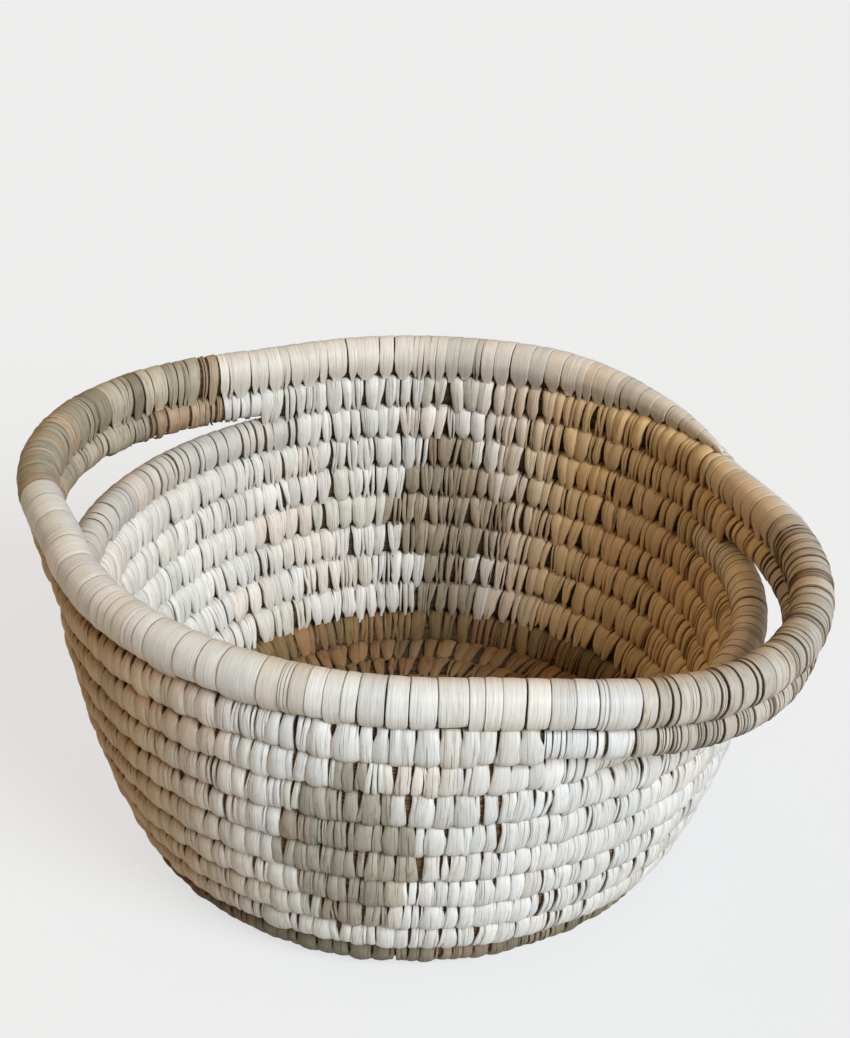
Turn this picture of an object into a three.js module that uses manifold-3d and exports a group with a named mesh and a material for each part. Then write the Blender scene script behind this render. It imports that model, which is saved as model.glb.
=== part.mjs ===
// A coiled palm-leaf fruit basket with two loop handles, in millimetres, +Z up.
//
// One foundation bundle winds from the middle of the floor, round a soft corner, up the wall and along
// the rim. Leaf strip is wrapped round it, in one run for each change of colour. The last two turns lift
// away from the wall on the left and on the right, and are the handles. The basket stands on z = 0, its
// coil winds round the Z axis and its handles lie along X. Angles are in degrees from +X, anticlockwise as
// seen from above, and the coil winds clockwise as it climbs.

import * as THREE from 'three';
import Module from 'manifold-3d';

// The coil and its wrap
const COIL_DIAMETER = 14.4; // a wrapped turn of the floor or the wall
const RIM_DIAMETER = 17; // the last turn, which is thicker
const TIP_DIAMETER = 6; // the thinned end of the rim
const LAY_GAP = 0.6; // between neighbouring turns
const WRAP_EDGE = 1.1; // leaf between the bundle and the next turn
const WRAP_FACE = 2.6; // leaf on the two faces of the wall, where strips lie double
const WRAP_FIT = 0.35; // between the bundle and its wrap
const RUN_GAP = 0.3; // between the ends of two runs of strip
const REST_CUT = 1.44; // depth of the flat that the floor stands on

// The winding
const FLOOR_TURNS = 6.65;
const WALL_TURNS = 10.35;
const START_TURN = -1 / 6; // the fine start of the bundle, curled round the axis
const FILL_TURNS = 0.5; // where that start has grown to the full coil
const END_ANGLE = 41; // where the rim's tip lies
const TIP_TURNS = 0.12; // stretch over which the rim thins to its tip
const SWELL_TURNS = 0.1; // stretch over which the coil thickens into the rim

// The shape of the wall
const CORNER_RADIUS = 15; // from the floor to the wall, at the middle of the coil
const LEAN_FOOT = 25.5; // outward lean just above the corner, from upright
const LEAN_TOP = 6; // outward lean at the rim
const LEAN_FADE = 2.1; // how fast the wall straightens as it climbs
const OVAL = 0.028; // how much longer than round the rim is along X, and narrower along Y

// The handles
const LEFT_HANDLE_ANGLE = 175.5;
const LEFT_HANDLE_HALF_SPAN = 40.4;
const LEFT_HANDLE_BOW = 20.6; // how far it stands out from the wall
const LEFT_HANDLE_DIP = 0; // how far its middle hangs below the rim
const RIGHT_HANDLE_ANGLE = -12.7;
const RIGHT_HANDLE_HALF_SPAN = 50.3;
const RIGHT_HANDLE_BOW = 22.8;
const RIGHT_HANDLE_DIP = 6.5;
const HANDLE_FLANK = 2.1; // how square the handles' shoulders are

// The colours along the coil
const LEFT_OLIVE = { from: 148, to: 200 }; // olive leaf on the handles
const RIGHT_OLIVE = { from: 321, to: 379 };
const FRONT_MOTIF_ANGLE = 280.6;
const BACK_MOTIF_ANGLE = 102.8;
const EDGE_ROW = 3; // the wall's own edge under the handles, counted down from the rim
const MOTIF_TOP_ROW = 4;
const FRONT_MOTIF_WIDTHS = [33, 49, 55, 39, 25]; // one row each, downward
const BACK_MOTIF_WIDTHS = [23, 45, 63, 46, 21];
const FOOT_MOTIF_WIDTH = 32; // under the back motif, in the row above the corner

// Facets
const GRID = 72; // points that are worked out in each turn
const START_STEPS = 12; // facets in a turn near the middle of the floor
const TURN_STEPS = 24;
const HANDLE_STEPS = 36;
const START_STEPS_END = 3; // the turn where the floor takes the finer facets
const PROFILE_STEP = 0.25; // along the wall's outline
const HALVINGS = 40; // of the span in which a turn's seat is looked for
const NEIGHBOUR_SPREAD = 0.1; // of a turn, to each side of the place where gaps are measured

const CREAM = { color: 0xd9d1c0, roughness: 0.62 };
const PALE_CREAM = { color: 0xe2dccd, roughness: 0.58 };
const OLIVE = { color: 0xa2967f, roughness: 0.66 };
const GREY_OLIVE = { color: 0x968d7a, roughness: 0.7 };
const DARK_OLIVE = { color: 0x8a7f66, roughness: 0.72 };
const TAN = { color: 0xa58d68, roughness: 0.7 };
const BUNDLE = { color: 0x5e4526, roughness: 0.9 };

const FULL_TURN = 360;
const HANDLE_TURNS = 2;
const TOTAL_TURNS = FLOOR_TURNS + WALL_TURNS;
const PITCH = COIL_DIAMETER + LAY_GAP;
const FLOOR_EDGE = PITCH * FLOOR_TURNS;
const FLOOR_HEIGHT = COIL_DIAMETER / 2 - REST_CUT;
const CORNER_LENGTH = CORNER_RADIUS * THREE.MathUtils.degToRad(90 - LEAN_FOOT);
const WALL_LENGTH = PITCH * WALL_TURNS;
const HANDLES = [
  {
    angle: LEFT_HANDLE_ANGLE,
    halfSpan: LEFT_HANDLE_HALF_SPAN,
    bow: LEFT_HANDLE_BOW,
    dip: LEFT_HANDLE_DIP,
  },
  {
    angle: RIGHT_HANDLE_ANGLE,
    halfSpan: RIGHT_HANDLE_HALF_SPAN,
    bow: RIGHT_HANDLE_BOW,
    dip: RIGHT_HANDLE_DIP,
  },
];

// Sections of the coil as [across the wall, along the wall], each in halves of the coil's diameter
const SHOULDER = 0.5;
const BORE_SHARE = 0.5; // size of the bore in the sketch of a cut end
const HEXAGON = [[1, 0], [SHOULDER, 1], [-SHOULDER, 1], [-1, 0], [-SHOULDER, -1], [SHOULDER, -1]];
const DIAMOND = [[1, 0], [0, 1], [-1, 0], [0, -1]];

const { clamp, degToRad, euclideanModulo, lerp, smoothstep } = THREE.MathUtils;

// The wall's lean from upright, in radians, at a length along its outline from the edge of the floor
function leanAt(length) {
  if (length <= 0) {
    return Math.PI / 2;
  }
  if (length < CORNER_LENGTH) {
    return Math.PI / 2 - length / CORNER_RADIUS;
  }
  const climb = clamp((length - CORNER_LENGTH) / (WALL_LENGTH - CORNER_LENGTH), 0, 1);
  return degToRad(LEAN_TOP + (LEAN_FOOT - LEAN_TOP) * (1 - climb) ** LEAN_FADE);
}

// Points along the outline of the corner and the wall, through the middle of the coil
function drawOutline() {
  const points = [new THREE.Vector2(FLOOR_EDGE, FLOOR_HEIGHT)];
  const reach = WALL_LENGTH + 2 * RIM_DIAMETER;
  for (let length = 0; length < reach; length += PROFILE_STEP) {
    const lean = leanAt(length + PROFILE_STEP / 2);
    const step = new THREE.Vector2(Math.sin(lean), Math.cos(lean)).multiplyScalar(PROFILE_STEP);
    points.push(step.add(points.at(-1)));
  }
  return points;
}

const outline = drawOutline();

// Distance from the axis (x) and height (y) of the middle of the coil at a length along the outline
function outlineAt(length) {
  if (length <= 0) {
    return new THREE.Vector2(FLOOR_EDGE + length, FLOOR_HEIGHT);
  }
  const place = length / PROFILE_STEP;
  const index = Math.min(Math.floor(place), outline.length - 2);
  return outline[index].clone().lerp(outline[index + 1], place - index);
}

// The middle of the floor winds from a fine start that fills the first turn out to the axis
function floorRadius(turn) {
  return turn < FILL_TURNS ? (PITCH * (turn + FILL_TURNS)) / 2 : PITCH * turn;
}

function diameterAt(turn) {
  if (turn < FILL_TURNS) {
    return PITCH * (turn + FILL_TURNS) - LAY_GAP;
  }
  const rimStart = TOTAL_TURNS - 1;
  const swell = smoothstep(turn, rimStart, rimStart + SWELL_TURNS);
  const thin = smoothstep(turn, TOTAL_TURNS - TIP_TURNS, TOTAL_TURNS);
  return lerp(lerp(COIL_DIAMETER, RIM_DIAMETER, swell), TIP_DIAMETER, thin);
}

// How far a section reaches towards a neighbour that lies at a tilt to it
function sectionReach(diameter, tilt) {
  return (diameter / 2) * (Math.cos(tilt) + SHOULDER * Math.sin(Math.abs(tilt)));
}

// Each turn of the wall lies against the turn below it, a lay gap apart, measured straight across
function lengthAbove(below, belowDiameter, diameter) {
  const seat = outlineAt(below);
  let near = below;
  let far = below + 2 * (belowDiameter + diameter);
  for (let halving = 0; halving < HALVINGS; halving += 1) {
    const middle = (near + far) / 2;
    const rise = outlineAt(middle).sub(seat);
    const heading = Math.atan2(rise.x, rise.y);
    const belowReach = sectionReach(belowDiameter, heading - leanAt(below));
    const reach = sectionReach(diameter, heading - leanAt(middle));
    if (rise.length() < belowReach + reach + LAY_GAP) {
      near = middle;
    } else {
      far = middle;
    }
  }
  return (near + far) / 2;
}

function layTurns() {
  const first = Math.floor(START_TURN * GRID) - 1;
  const last = Math.ceil(TOTAL_TURNS * GRID) + 1;
  const lengths = new Map();
  for (let index = first; index <= last; index += 1) {
    const turn = index / GRID;
    if (turn <= FLOOR_TURNS) {
      lengths.set(index, floorRadius(turn) - FLOOR_EDGE);
    } else {
      const below = lengths.get(index - GRID);
      lengths.set(index, lengthAbove(below, diameterAt(turn - 1), diameterAt(turn)));
    }
  }
  return lengths;
}

const lengths = layTurns();

function lengthAt(turn) {
  const place = turn * GRID;
  const index = Math.floor(place);
  return lerp(lengths.get(index), lengths.get(index + 1), place - index);
}

function angleAt(turn) {
  return END_ANGLE + FULL_TURN * (TOTAL_TURNS - turn);
}

// Share of a handle's bow at an angle: 1 in its middle, 0 where it meets the wall
function handleShare(handle, angle) {
  const away = euclideanModulo(angle - handle.angle + FULL_TURN / 2, FULL_TURN) - FULL_TURN / 2;
  const share = Math.min(Math.abs(away) / handle.halfSpan, 1);
  return (1 - share ** HANDLE_FLANK) ** 2;
}

// Distance from the axis and height of the middle of the coil, with the oval and the handles
function pathAt(turn) {
  const length = lengthAt(turn);
  const point = outlineAt(length);
  const angle = angleAt(turn);
  const oval = OVAL * clamp(length / WALL_LENGTH, 0, 1) ** 2;
  const along = Math.cos(degToRad(angle)) / (1 + oval);
  const acrossOval = Math.sin(degToRad(angle)) / (1 - oval);
  point.x /= Math.hypot(along, acrossOval);
  if (turn > TOTAL_TURNS - HANDLE_TURNS) {
    for (const handle of HANDLES) {
      const share = handleShare(handle, angle);
      point.x += handle.bow * share;
      point.y -= handle.dip * share ** 2;
    }
  }
  return point;
}

// A frame of the coil: its middle, and the two directions of its section in the upright plane through the
// axis. Where the coil runs aslant to that plane the section is stretched, so that it keeps its thickness.
function stationAt(turn) {
  const reach = 1 / (2 * GRID);
  const before = pathAt(Math.max(turn - reach, START_TURN));
  const after = pathAt(Math.min(turn + reach, TOTAL_TURNS));
  const middle = pathAt(turn);
  const slant = (after.x - before.x) / (4 * Math.PI * reach * middle.x);
  const stretch = Math.hypot(1, turn < 1 ? 0 : slant);
  const angle = degToRad(angleAt(turn));
  const lean = leanAt(lengthAt(turn));
  const outward = new THREE.Vector3(Math.cos(angle), Math.sin(angle), 0);
  const upward = new THREE.Vector3(0, 0, 1);
  const across = outward.clone().multiplyScalar(stretch * Math.cos(lean));
  const along = outward.clone().multiplyScalar(stretch * Math.sin(lean));
  return {
    turn,
    diameter: diameterAt(turn),
    centre: outward.clone().multiplyScalar(middle.x).addScaledVector(upward, middle.y),
    across: across.addScaledVector(upward, -Math.sin(lean)),
    along: along.addScaledVector(upward, Math.cos(lean)),
  };
}

// The floor's middle, the rest of the coil below the handles, and the handles each have their own facets
function layStations() {
  const handlesStart = TOTAL_TURNS - HANDLE_TURNS;
  const stretches = [
    { from: START_TURN, to: START_STEPS_END, steps: START_STEPS },
    { from: START_STEPS_END, to: handlesStart, steps: TURN_STEPS },
    { from: handlesStart, to: TOTAL_TURNS, steps: HANDLE_STEPS },
  ];
  const turns = [];
  for (const { from, to, steps } of stretches) {
    turns.push(from);
    for (let step = Math.floor(from * steps) + 1; step < to * steps; step += 1) {
      turns.push(step / steps);
    }
  }
  turns.push(TOTAL_TURNS);
  return turns.map(stationAt);
}

const stations = layStations();

// Half sizes of each layer of the coil, across and along the wall. The wrap thins where the coil does.
function outerHalves(diameter) {
  return [diameter / 2, diameter / 2];
}

function boreHalves(diameter) {
  const thinning = Math.min(diameter / COIL_DIAMETER, 1);
  return [diameter / 2 - WRAP_FACE * thinning, diameter / 2 - WRAP_EDGE * thinning];
}

function bundleHalves(diameter) {
  return boreHalves(diameter).map((half) => half - WRAP_FIT);
}

function ringAt(station, outlineShape, halvesOf) {
  const [acrossHalf, alongHalf] = halvesOf(station.diameter);
  return outlineShape.map(([acrossShare, alongShare]) =>
    station.centre
      .clone()
      .addScaledVector(station.across, acrossShare * acrossHalf)
      .addScaledVector(station.along, alongShare * alongHalf),
  );
}

// The rings of a layer from one turn to another. Cut ends lie on the flat between two stations.
function ringsBetween(from, to, outlineShape, halvesOf) {
  const endRing = (turn) => {
    const next = Math.max(stations.findIndex((station) => station.turn >= turn), 1);
    const before = stations[next - 1];
    const after = stations[next];
    const share = (turn - before.turn) / (after.turn - before.turn);
    const afterRing = ringAt(after, outlineShape, halvesOf);
    return ringAt(before, outlineShape, halvesOf).map((point, index) => point.lerp(afterRing[index], share));
  };
  const inner = stations.filter((station) => station.turn > from && station.turn < to);
  return [endRing(from), ...inner.map((station) => ringAt(station, outlineShape, halvesOf)), endRing(to)];
}

function wallFaces(rings, offset, inward) {
  const sides = rings[0].length;
  const faces = [];
  for (let ring = 0; ring + 1 < rings.length; ring += 1) {
    for (let side = 0; side < sides; side += 1) {
      const a = offset + ring * sides + side;
      const b = offset + ring * sides + ((side + 1) % sides);
      const quad = [a, b, b + sides, a, b + sides, a + sides];
      faces.push(...(inward ? quad.reverse() : quad));
    }
  }
  return faces;
}

// Triangles between the outline of a section and its bore, or over all of it, as places in its points
function sectionFaces(outlineShape, boreShape) {
  const flat = (shape, size) => shape.map(([x, y]) => new THREE.Vector2(x, y).multiplyScalar(size));
  const contour = flat(outlineShape, 1);
  const holes = boreShape ? [flat(boreShape, BORE_SHARE)] : [];
  const points = [...contour, ...holes.flat()];
  return THREE.ShapeUtils.triangulateShape(contour, holes).map((face) => {
    const [a, b, c] = face.map((index) => points[index]);
    const turnsLeft = b.clone().sub(a).cross(c.clone().sub(a)) > 0;
    return turnsLeft ? face : face.reverse();
  });
}

// A closed tube over the rings of its outside and, where it is hollow, of its bore
function tubeGeometry(outerRings, outlineShape, boreRings, boreShape) {
  const sides = outlineShape.length;
  const boreOffset = outerRings.length * sides;
  const lastRing = outerRings.length - 1;
  const index = wallFaces(outerRings, 0, false);
  if (boreShape) {
    index.push(...wallFaces(boreRings, boreOffset, true));
  }
  const placeOf = (ring) => (place) =>
    place < sides ? ring * sides + place : boreOffset + ring * boreShape.length + place - sides;
  for (const face of sectionFaces(outlineShape, boreShape)) {
    index.push(...face.map(placeOf(0)).reverse());
    index.push(...face.map(placeOf(lastRing)));
  }
  const rings = boreShape ? [...outerRings, ...boreRings] : outerRings;
  const positions = rings.flat().flatMap((point) => point.toArray());
  return facedOut(positions, index);
}

function facedOut(positions, index) {
  const corner = (place) => new THREE.Vector3().fromArray(positions, 3 * index[place]);
  let volume = 0;
  for (let face = 0; face < index.length; face += 3) {
    volume += corner(face).dot(corner(face + 1).cross(corner(face + 2)));
  }
  const geometry = new THREE.BufferGeometry();
  geometry.setAttribute('position', new THREE.Float32BufferAttribute(positions, 3));
  geometry.setIndex(volume > 0 ? index : [...index].reverse());
  return geometry;
}

const wasm = await Module();
wasm.setup();

function solidOf(geometry) {
  return new wasm.Manifold(
    new wasm.Mesh({
      numProp: 3,
      vertProperties: new Float32Array(geometry.attributes.position.array),
      triVerts: new Uint32Array(geometry.index.array),
    }),
  );
}

// What reaches below the surface that the basket stands on is cut flat
function cutFlat(geometry) {
  geometry.computeBoundingBox();
  if (geometry.boundingBox.min.z >= 0) {
    return geometry;
  }
  const width = 2 * (FLOOR_EDGE + WALL_LENGTH);
  const half = width / 2;
  const low = [[-half, -half], [half, -half], [half, half], [-half, half]];
  const below = [-COIL_DIAMETER, 0].map((z) => low.map(([x, y]) => new THREE.Vector3(x, y, z)));
  const square = low.map(([x, y]) => [x / half, y / half]);
  const cut = solidOf(geometry).subtract(solidOf(tubeGeometry(below, square))).getMesh();
  const flat = new THREE.BufferGeometry();
  flat.setAttribute('position', new THREE.Float32BufferAttribute(cut.vertProperties, 3));
  flat.setIndex([...cut.triVerts]);
  return flat;
}

const basket = new THREE.Group();

function addPiece(name, geometry, finish) {
  geometry.computeVertexNormals();
  const mesh = new THREE.Mesh(geometry, new THREE.MeshStandardMaterial({ ...finish, metalness: 0 }));
  mesh.name = name;
  basket.add(mesh);
}

// A run of leaf strip round the bundle, from a higher turn down to a lower one
function addWrap(name, highTurn, lowTurn, finish) {
  const trim = (turn) => RUN_GAP / 2 / (2 * Math.PI * pathAt(turn).x);
  const from = lowTurn > START_TURN ? lowTurn + trim(lowTurn) : lowTurn;
  const to = highTurn < TOTAL_TURNS ? highTurn - trim(highTurn) : highTurn;
  const outside = ringsBetween(from, to, HEXAGON, outerHalves);
  const bore = ringsBetween(from, to, DIAMOND, boreHalves);
  addPiece(name, cutFlat(tubeGeometry(outside, HEXAGON, bore, DIAMOND)), finish);
}

// The turn at an angle in a row, where row 1 is the rim and a row starts at the rim's tip
function turnAt(row, angle) {
  return TOTAL_TURNS - (row - 1) - (angle - END_ANGLE) / FULL_TURN;
}

function addFoundation() {
  const rings = ringsBetween(START_TURN, TOTAL_TURNS, DIAMOND, bundleHalves);
  addPiece('foundation_coil', tubeGeometry(rings, DIAMOND), BUNDLE);
}

// The rim and the row under it, which lift off the wall together at the handles
function addHandleRows() {
  const rows = [
    { row: 1, name: 'rim_wrap', grip: 'upper', finish: PALE_CREAM },
    { row: 2, name: 'second_row_wrap', grip: 'lower', finish: CREAM },
  ];
  for (const { row, name, grip, finish } of rows) {
    const at = (angle) => turnAt(row, angle);
    addWrap(`${name}_back`, at(END_ANGLE), at(LEFT_OLIVE.from), finish);
    addWrap(`left_handle_${grip}_wrap`, at(LEFT_OLIVE.from), at(LEFT_OLIVE.to), OLIVE);
    addWrap(`${name}_front`, at(LEFT_OLIVE.to), at(RIGHT_OLIVE.from), finish);
    addWrap(`right_handle_${grip}_wrap`, at(RIGHT_OLIVE.from), at(RIGHT_OLIVE.to), OLIVE);
    addWrap(`${name}_right`, at(RIGHT_OLIVE.to), at(END_ANGLE + FULL_TURN), finish);
  }
}

// The row that is left as the wall's edge where the handles lift off
function addEdgeRow() {
  const at = (angle) => turnAt(EDGE_ROW, angle);
  const leftStart = LEFT_HANDLE_ANGLE - LEFT_HANDLE_HALF_SPAN;
  const leftEnd = LEFT_HANDLE_ANGLE + LEFT_HANDLE_HALF_SPAN;
  const rightStart = FULL_TURN + RIGHT_HANDLE_ANGLE - RIGHT_HANDLE_HALF_SPAN;
  addWrap('third_row_wrap_back', at(END_ANGLE), at(leftStart), CREAM);
  addWrap('left_edge_wrap', at(leftStart), at(leftEnd), PALE_CREAM);
  addWrap('third_row_wrap_front', at(leftEnd), at(rightStart), CREAM);
  addWrap('right_edge_wrap', at(rightStart), at(END_ANGLE + FULL_TURN), PALE_CREAM);
}

// Where a motif of a given width starts and ends in a row
function motifTurns(row, angle, width) {
  const middle = turnAt(row, angle);
  const half = width / 2 / (2 * Math.PI * pathAt(middle).x);
  return { high: middle + half, low: middle - half };
}

// The rows with the stepped diamonds: cream on the right, the back motif, cream on the left, the front motif
function addMotifRows() {
  let high = turnAt(MOTIF_TOP_ROW, END_ANGLE);
  FRONT_MOTIF_WIDTHS.forEach((frontWidth, place) => {
    const row = MOTIF_TOP_ROW + place;
    const back = motifTurns(row, BACK_MOTIF_ANGLE, BACK_MOTIF_WIDTHS[place]);
    const front = motifTurns(row, FRONT_MOTIF_ANGLE, frontWidth);
    addWrap(`wall_wrap_right_${row}`, high, back.high, CREAM);
    addWrap(`back_motif_${row}`, back.high, back.low, GREY_OLIVE);
    addWrap(`wall_wrap_left_${row}`, back.low, front.high, CREAM);
    addWrap(`front_motif_${row}`, front.high, front.low, GREY_OLIVE);
    high = front.low;
  });
  return high;
}

// The last cream row, the dark row round the corner, and the floor
function addFootRows(high) {
  const row = MOTIF_TOP_ROW + FRONT_MOTIF_WIDTHS.length;
  const foot = motifTurns(row, BACK_MOTIF_ANGLE, FOOT_MOTIF_WIDTH);
  const cornerTurn = turnAt(row + 1, END_ANGLE);
  addWrap(`wall_wrap_right_${row}`, high, foot.high, CREAM);
  addWrap(`back_motif_${row}`, foot.high, foot.low, GREY_OLIVE);
  addWrap(`wall_wrap_left_${row}`, foot.low, cornerTurn, CREAM);
  addWrap('corner_wrap', cornerTurn, cornerTurn - 1, DARK_OLIVE);
  addWrap('floor_wrap', cornerTurn - 1, START_TURN, TAN);
}

// The least gap between turns, on points round the sections of a layer
function leastGap(outlineShape, halvesOf) {
  const rings = stations.map((station) => ringAt(station, outlineShape, halvesOf));
  const points = rings.map((ring) =>
    ring.flatMap((point, index) => [point, point.clone().lerp(ring[(index + 1) % ring.length], 0.5)]),
  );
  let least = Infinity;
  stations.forEach((station, place) => {
    for (let other = place + 1; other < stations.length; other += 1) {
      const apart = stations[other].turn - station.turn;
      if (Math.abs(apart - 1) < NEIGHBOUR_SPREAD) {
        for (const point of points[place]) {
          least = Math.min(least, ...points[other].map((match) => match.distanceTo(point)));
        }
      }
    }
  });
  return least;
}

addFoundation();
addHandleRows();
addEdgeRow();
addFootRows(addMotifRows());

console.log(`foundation coil: ${(TOTAL_TURNS - START_TURN).toFixed(2)} turns`);
console.log(`least gap between turns of the bundle: ${leastGap(DIAMOND, bundleHalves).toFixed(2)} mm`);
console.log(`least gap between turns of the wrap: ${leastGap(HEXAGON, outerHalves).toFixed(2)} mm`);

export default basket;
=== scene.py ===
"""A coiled palm-leaf fruit basket with two loop handles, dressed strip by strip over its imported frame."""

import logging
import math
from dataclasses import dataclass, replace
from enum import Enum

import bpy
import numpy as np
from mathutils import Matrix, Vector


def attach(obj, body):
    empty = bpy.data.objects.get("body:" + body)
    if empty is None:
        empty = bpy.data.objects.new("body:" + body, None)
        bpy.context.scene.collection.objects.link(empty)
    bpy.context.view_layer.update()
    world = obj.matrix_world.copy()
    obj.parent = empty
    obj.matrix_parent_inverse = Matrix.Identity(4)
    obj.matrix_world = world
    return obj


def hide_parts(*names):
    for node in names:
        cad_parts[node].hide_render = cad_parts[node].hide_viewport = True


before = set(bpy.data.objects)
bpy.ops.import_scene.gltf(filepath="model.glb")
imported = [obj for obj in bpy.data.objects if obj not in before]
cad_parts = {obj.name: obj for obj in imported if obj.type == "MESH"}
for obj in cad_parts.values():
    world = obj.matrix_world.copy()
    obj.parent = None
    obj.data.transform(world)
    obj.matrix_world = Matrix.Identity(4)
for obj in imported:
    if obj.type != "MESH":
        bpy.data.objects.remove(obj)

log = logging.getLogger("basket")
MM = 0.001
SEED = 1809


def linear(red: float, green: float, blue: float) -> np.ndarray:
    """Turns a colour as shown, 0 to 1, into the linear colour that shading works in."""
    shown = np.array([red, green, blue])
    return np.where(shown <= 0.04045, shown / 12.92, ((shown + 0.055) / 1.055) ** 2.4)


def smooth(value: np.ndarray | float, low: float, high: float) -> np.ndarray:
    """Eases a value from 0 at low to 1 at high, whichever of the two is greater."""
    share = np.clip((np.asarray(value, float) - low) / (high - low), 0.0, 1.0)
    return share * share * (3.0 - 2.0 * share)


def place_object(name: str, data: bpy.types.ID) -> bpy.types.Object:
    """Puts a mesh, a lamp or a lens into the scene.

    Args:
        name: Name of the object.
        data: What it shows.

    Returns:
        The new object.
    """
    placed = bpy.data.objects.new(name, data)
    bpy.context.scene.collection.objects.link(placed)
    return placed


class PointValue(Enum):
    """Kinds of value that a mesh keeps for each of its points."""

    COLOUR = ("FLOAT_COLOR", "color")
    VECTOR = ("FLOAT_VECTOR", "vector")
    NUMBER = ("FLOAT", "value")

    def write(self, mesh: bpy.types.Mesh, name: str, values: np.ndarray) -> None:
        """Writes one value for each point under a name that materials read."""
        kind, field = self.value
        mesh.attributes.new(name, kind, "POINT").data.foreach_set(field, values.astype(np.float32).ravel())


@dataclass(frozen=True)
class HandleSizes:
    """Where a handle stands off the wall. Angles in degrees, lengths in metres."""

    angle: float
    half_span: float
    bow: float
    dip: float


@dataclass(frozen=True)
class CoilSizes:
    """Driving sizes of the coil, in metres, turns and degrees."""

    coil: float = 14.4 * MM
    rim: float = 17.0 * MM
    tip: float = 6.0 * MM
    lay_gap: float = 0.6 * MM
    rest_cut: float = 1.44 * MM
    floor_turns: float = 6.65
    wall_turns: float = 10.35
    start_turn: float = -1 / 6
    fill_turns: float = 0.5
    end_angle: float = 41.0
    tip_turns: float = 0.12
    tip_round: float = 40.0 * MM
    swell_turns: float = 0.1
    corner_radius: float = 15.0 * MM
    lean_foot: float = 25.5
    lean_top: float = 6.0
    lean_fade: float = 2.1
    oval: float = 0.028
    handle_flank: float = 2.1
    handle_turns: float = 2.0
    shoulder: float = 0.5

    @property
    def total_turns(self) -> float:
        """Turns from the middle of the floor to the rim's tip."""
        return self.floor_turns + self.wall_turns

    @property
    def pitch(self) -> float:
        """Height of one row."""
        return self.coil + self.lay_gap

    @property
    def floor_edge(self) -> float:
        """Distance from the axis at which the floor turns up."""
        return self.pitch * self.floor_turns

    @property
    def floor_height(self) -> float:
        """Height of the middle of the coil on the floor."""
        return self.coil / 2 - self.rest_cut

    @property
    def corner_length(self) -> float:
        """Length of the corner along the wall's outline."""
        return self.corner_radius * math.radians(90.0 - self.lean_foot)

    @property
    def wall_length(self) -> float:
        """Length of the wall along its outline."""
        return self.pitch * self.wall_turns


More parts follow.
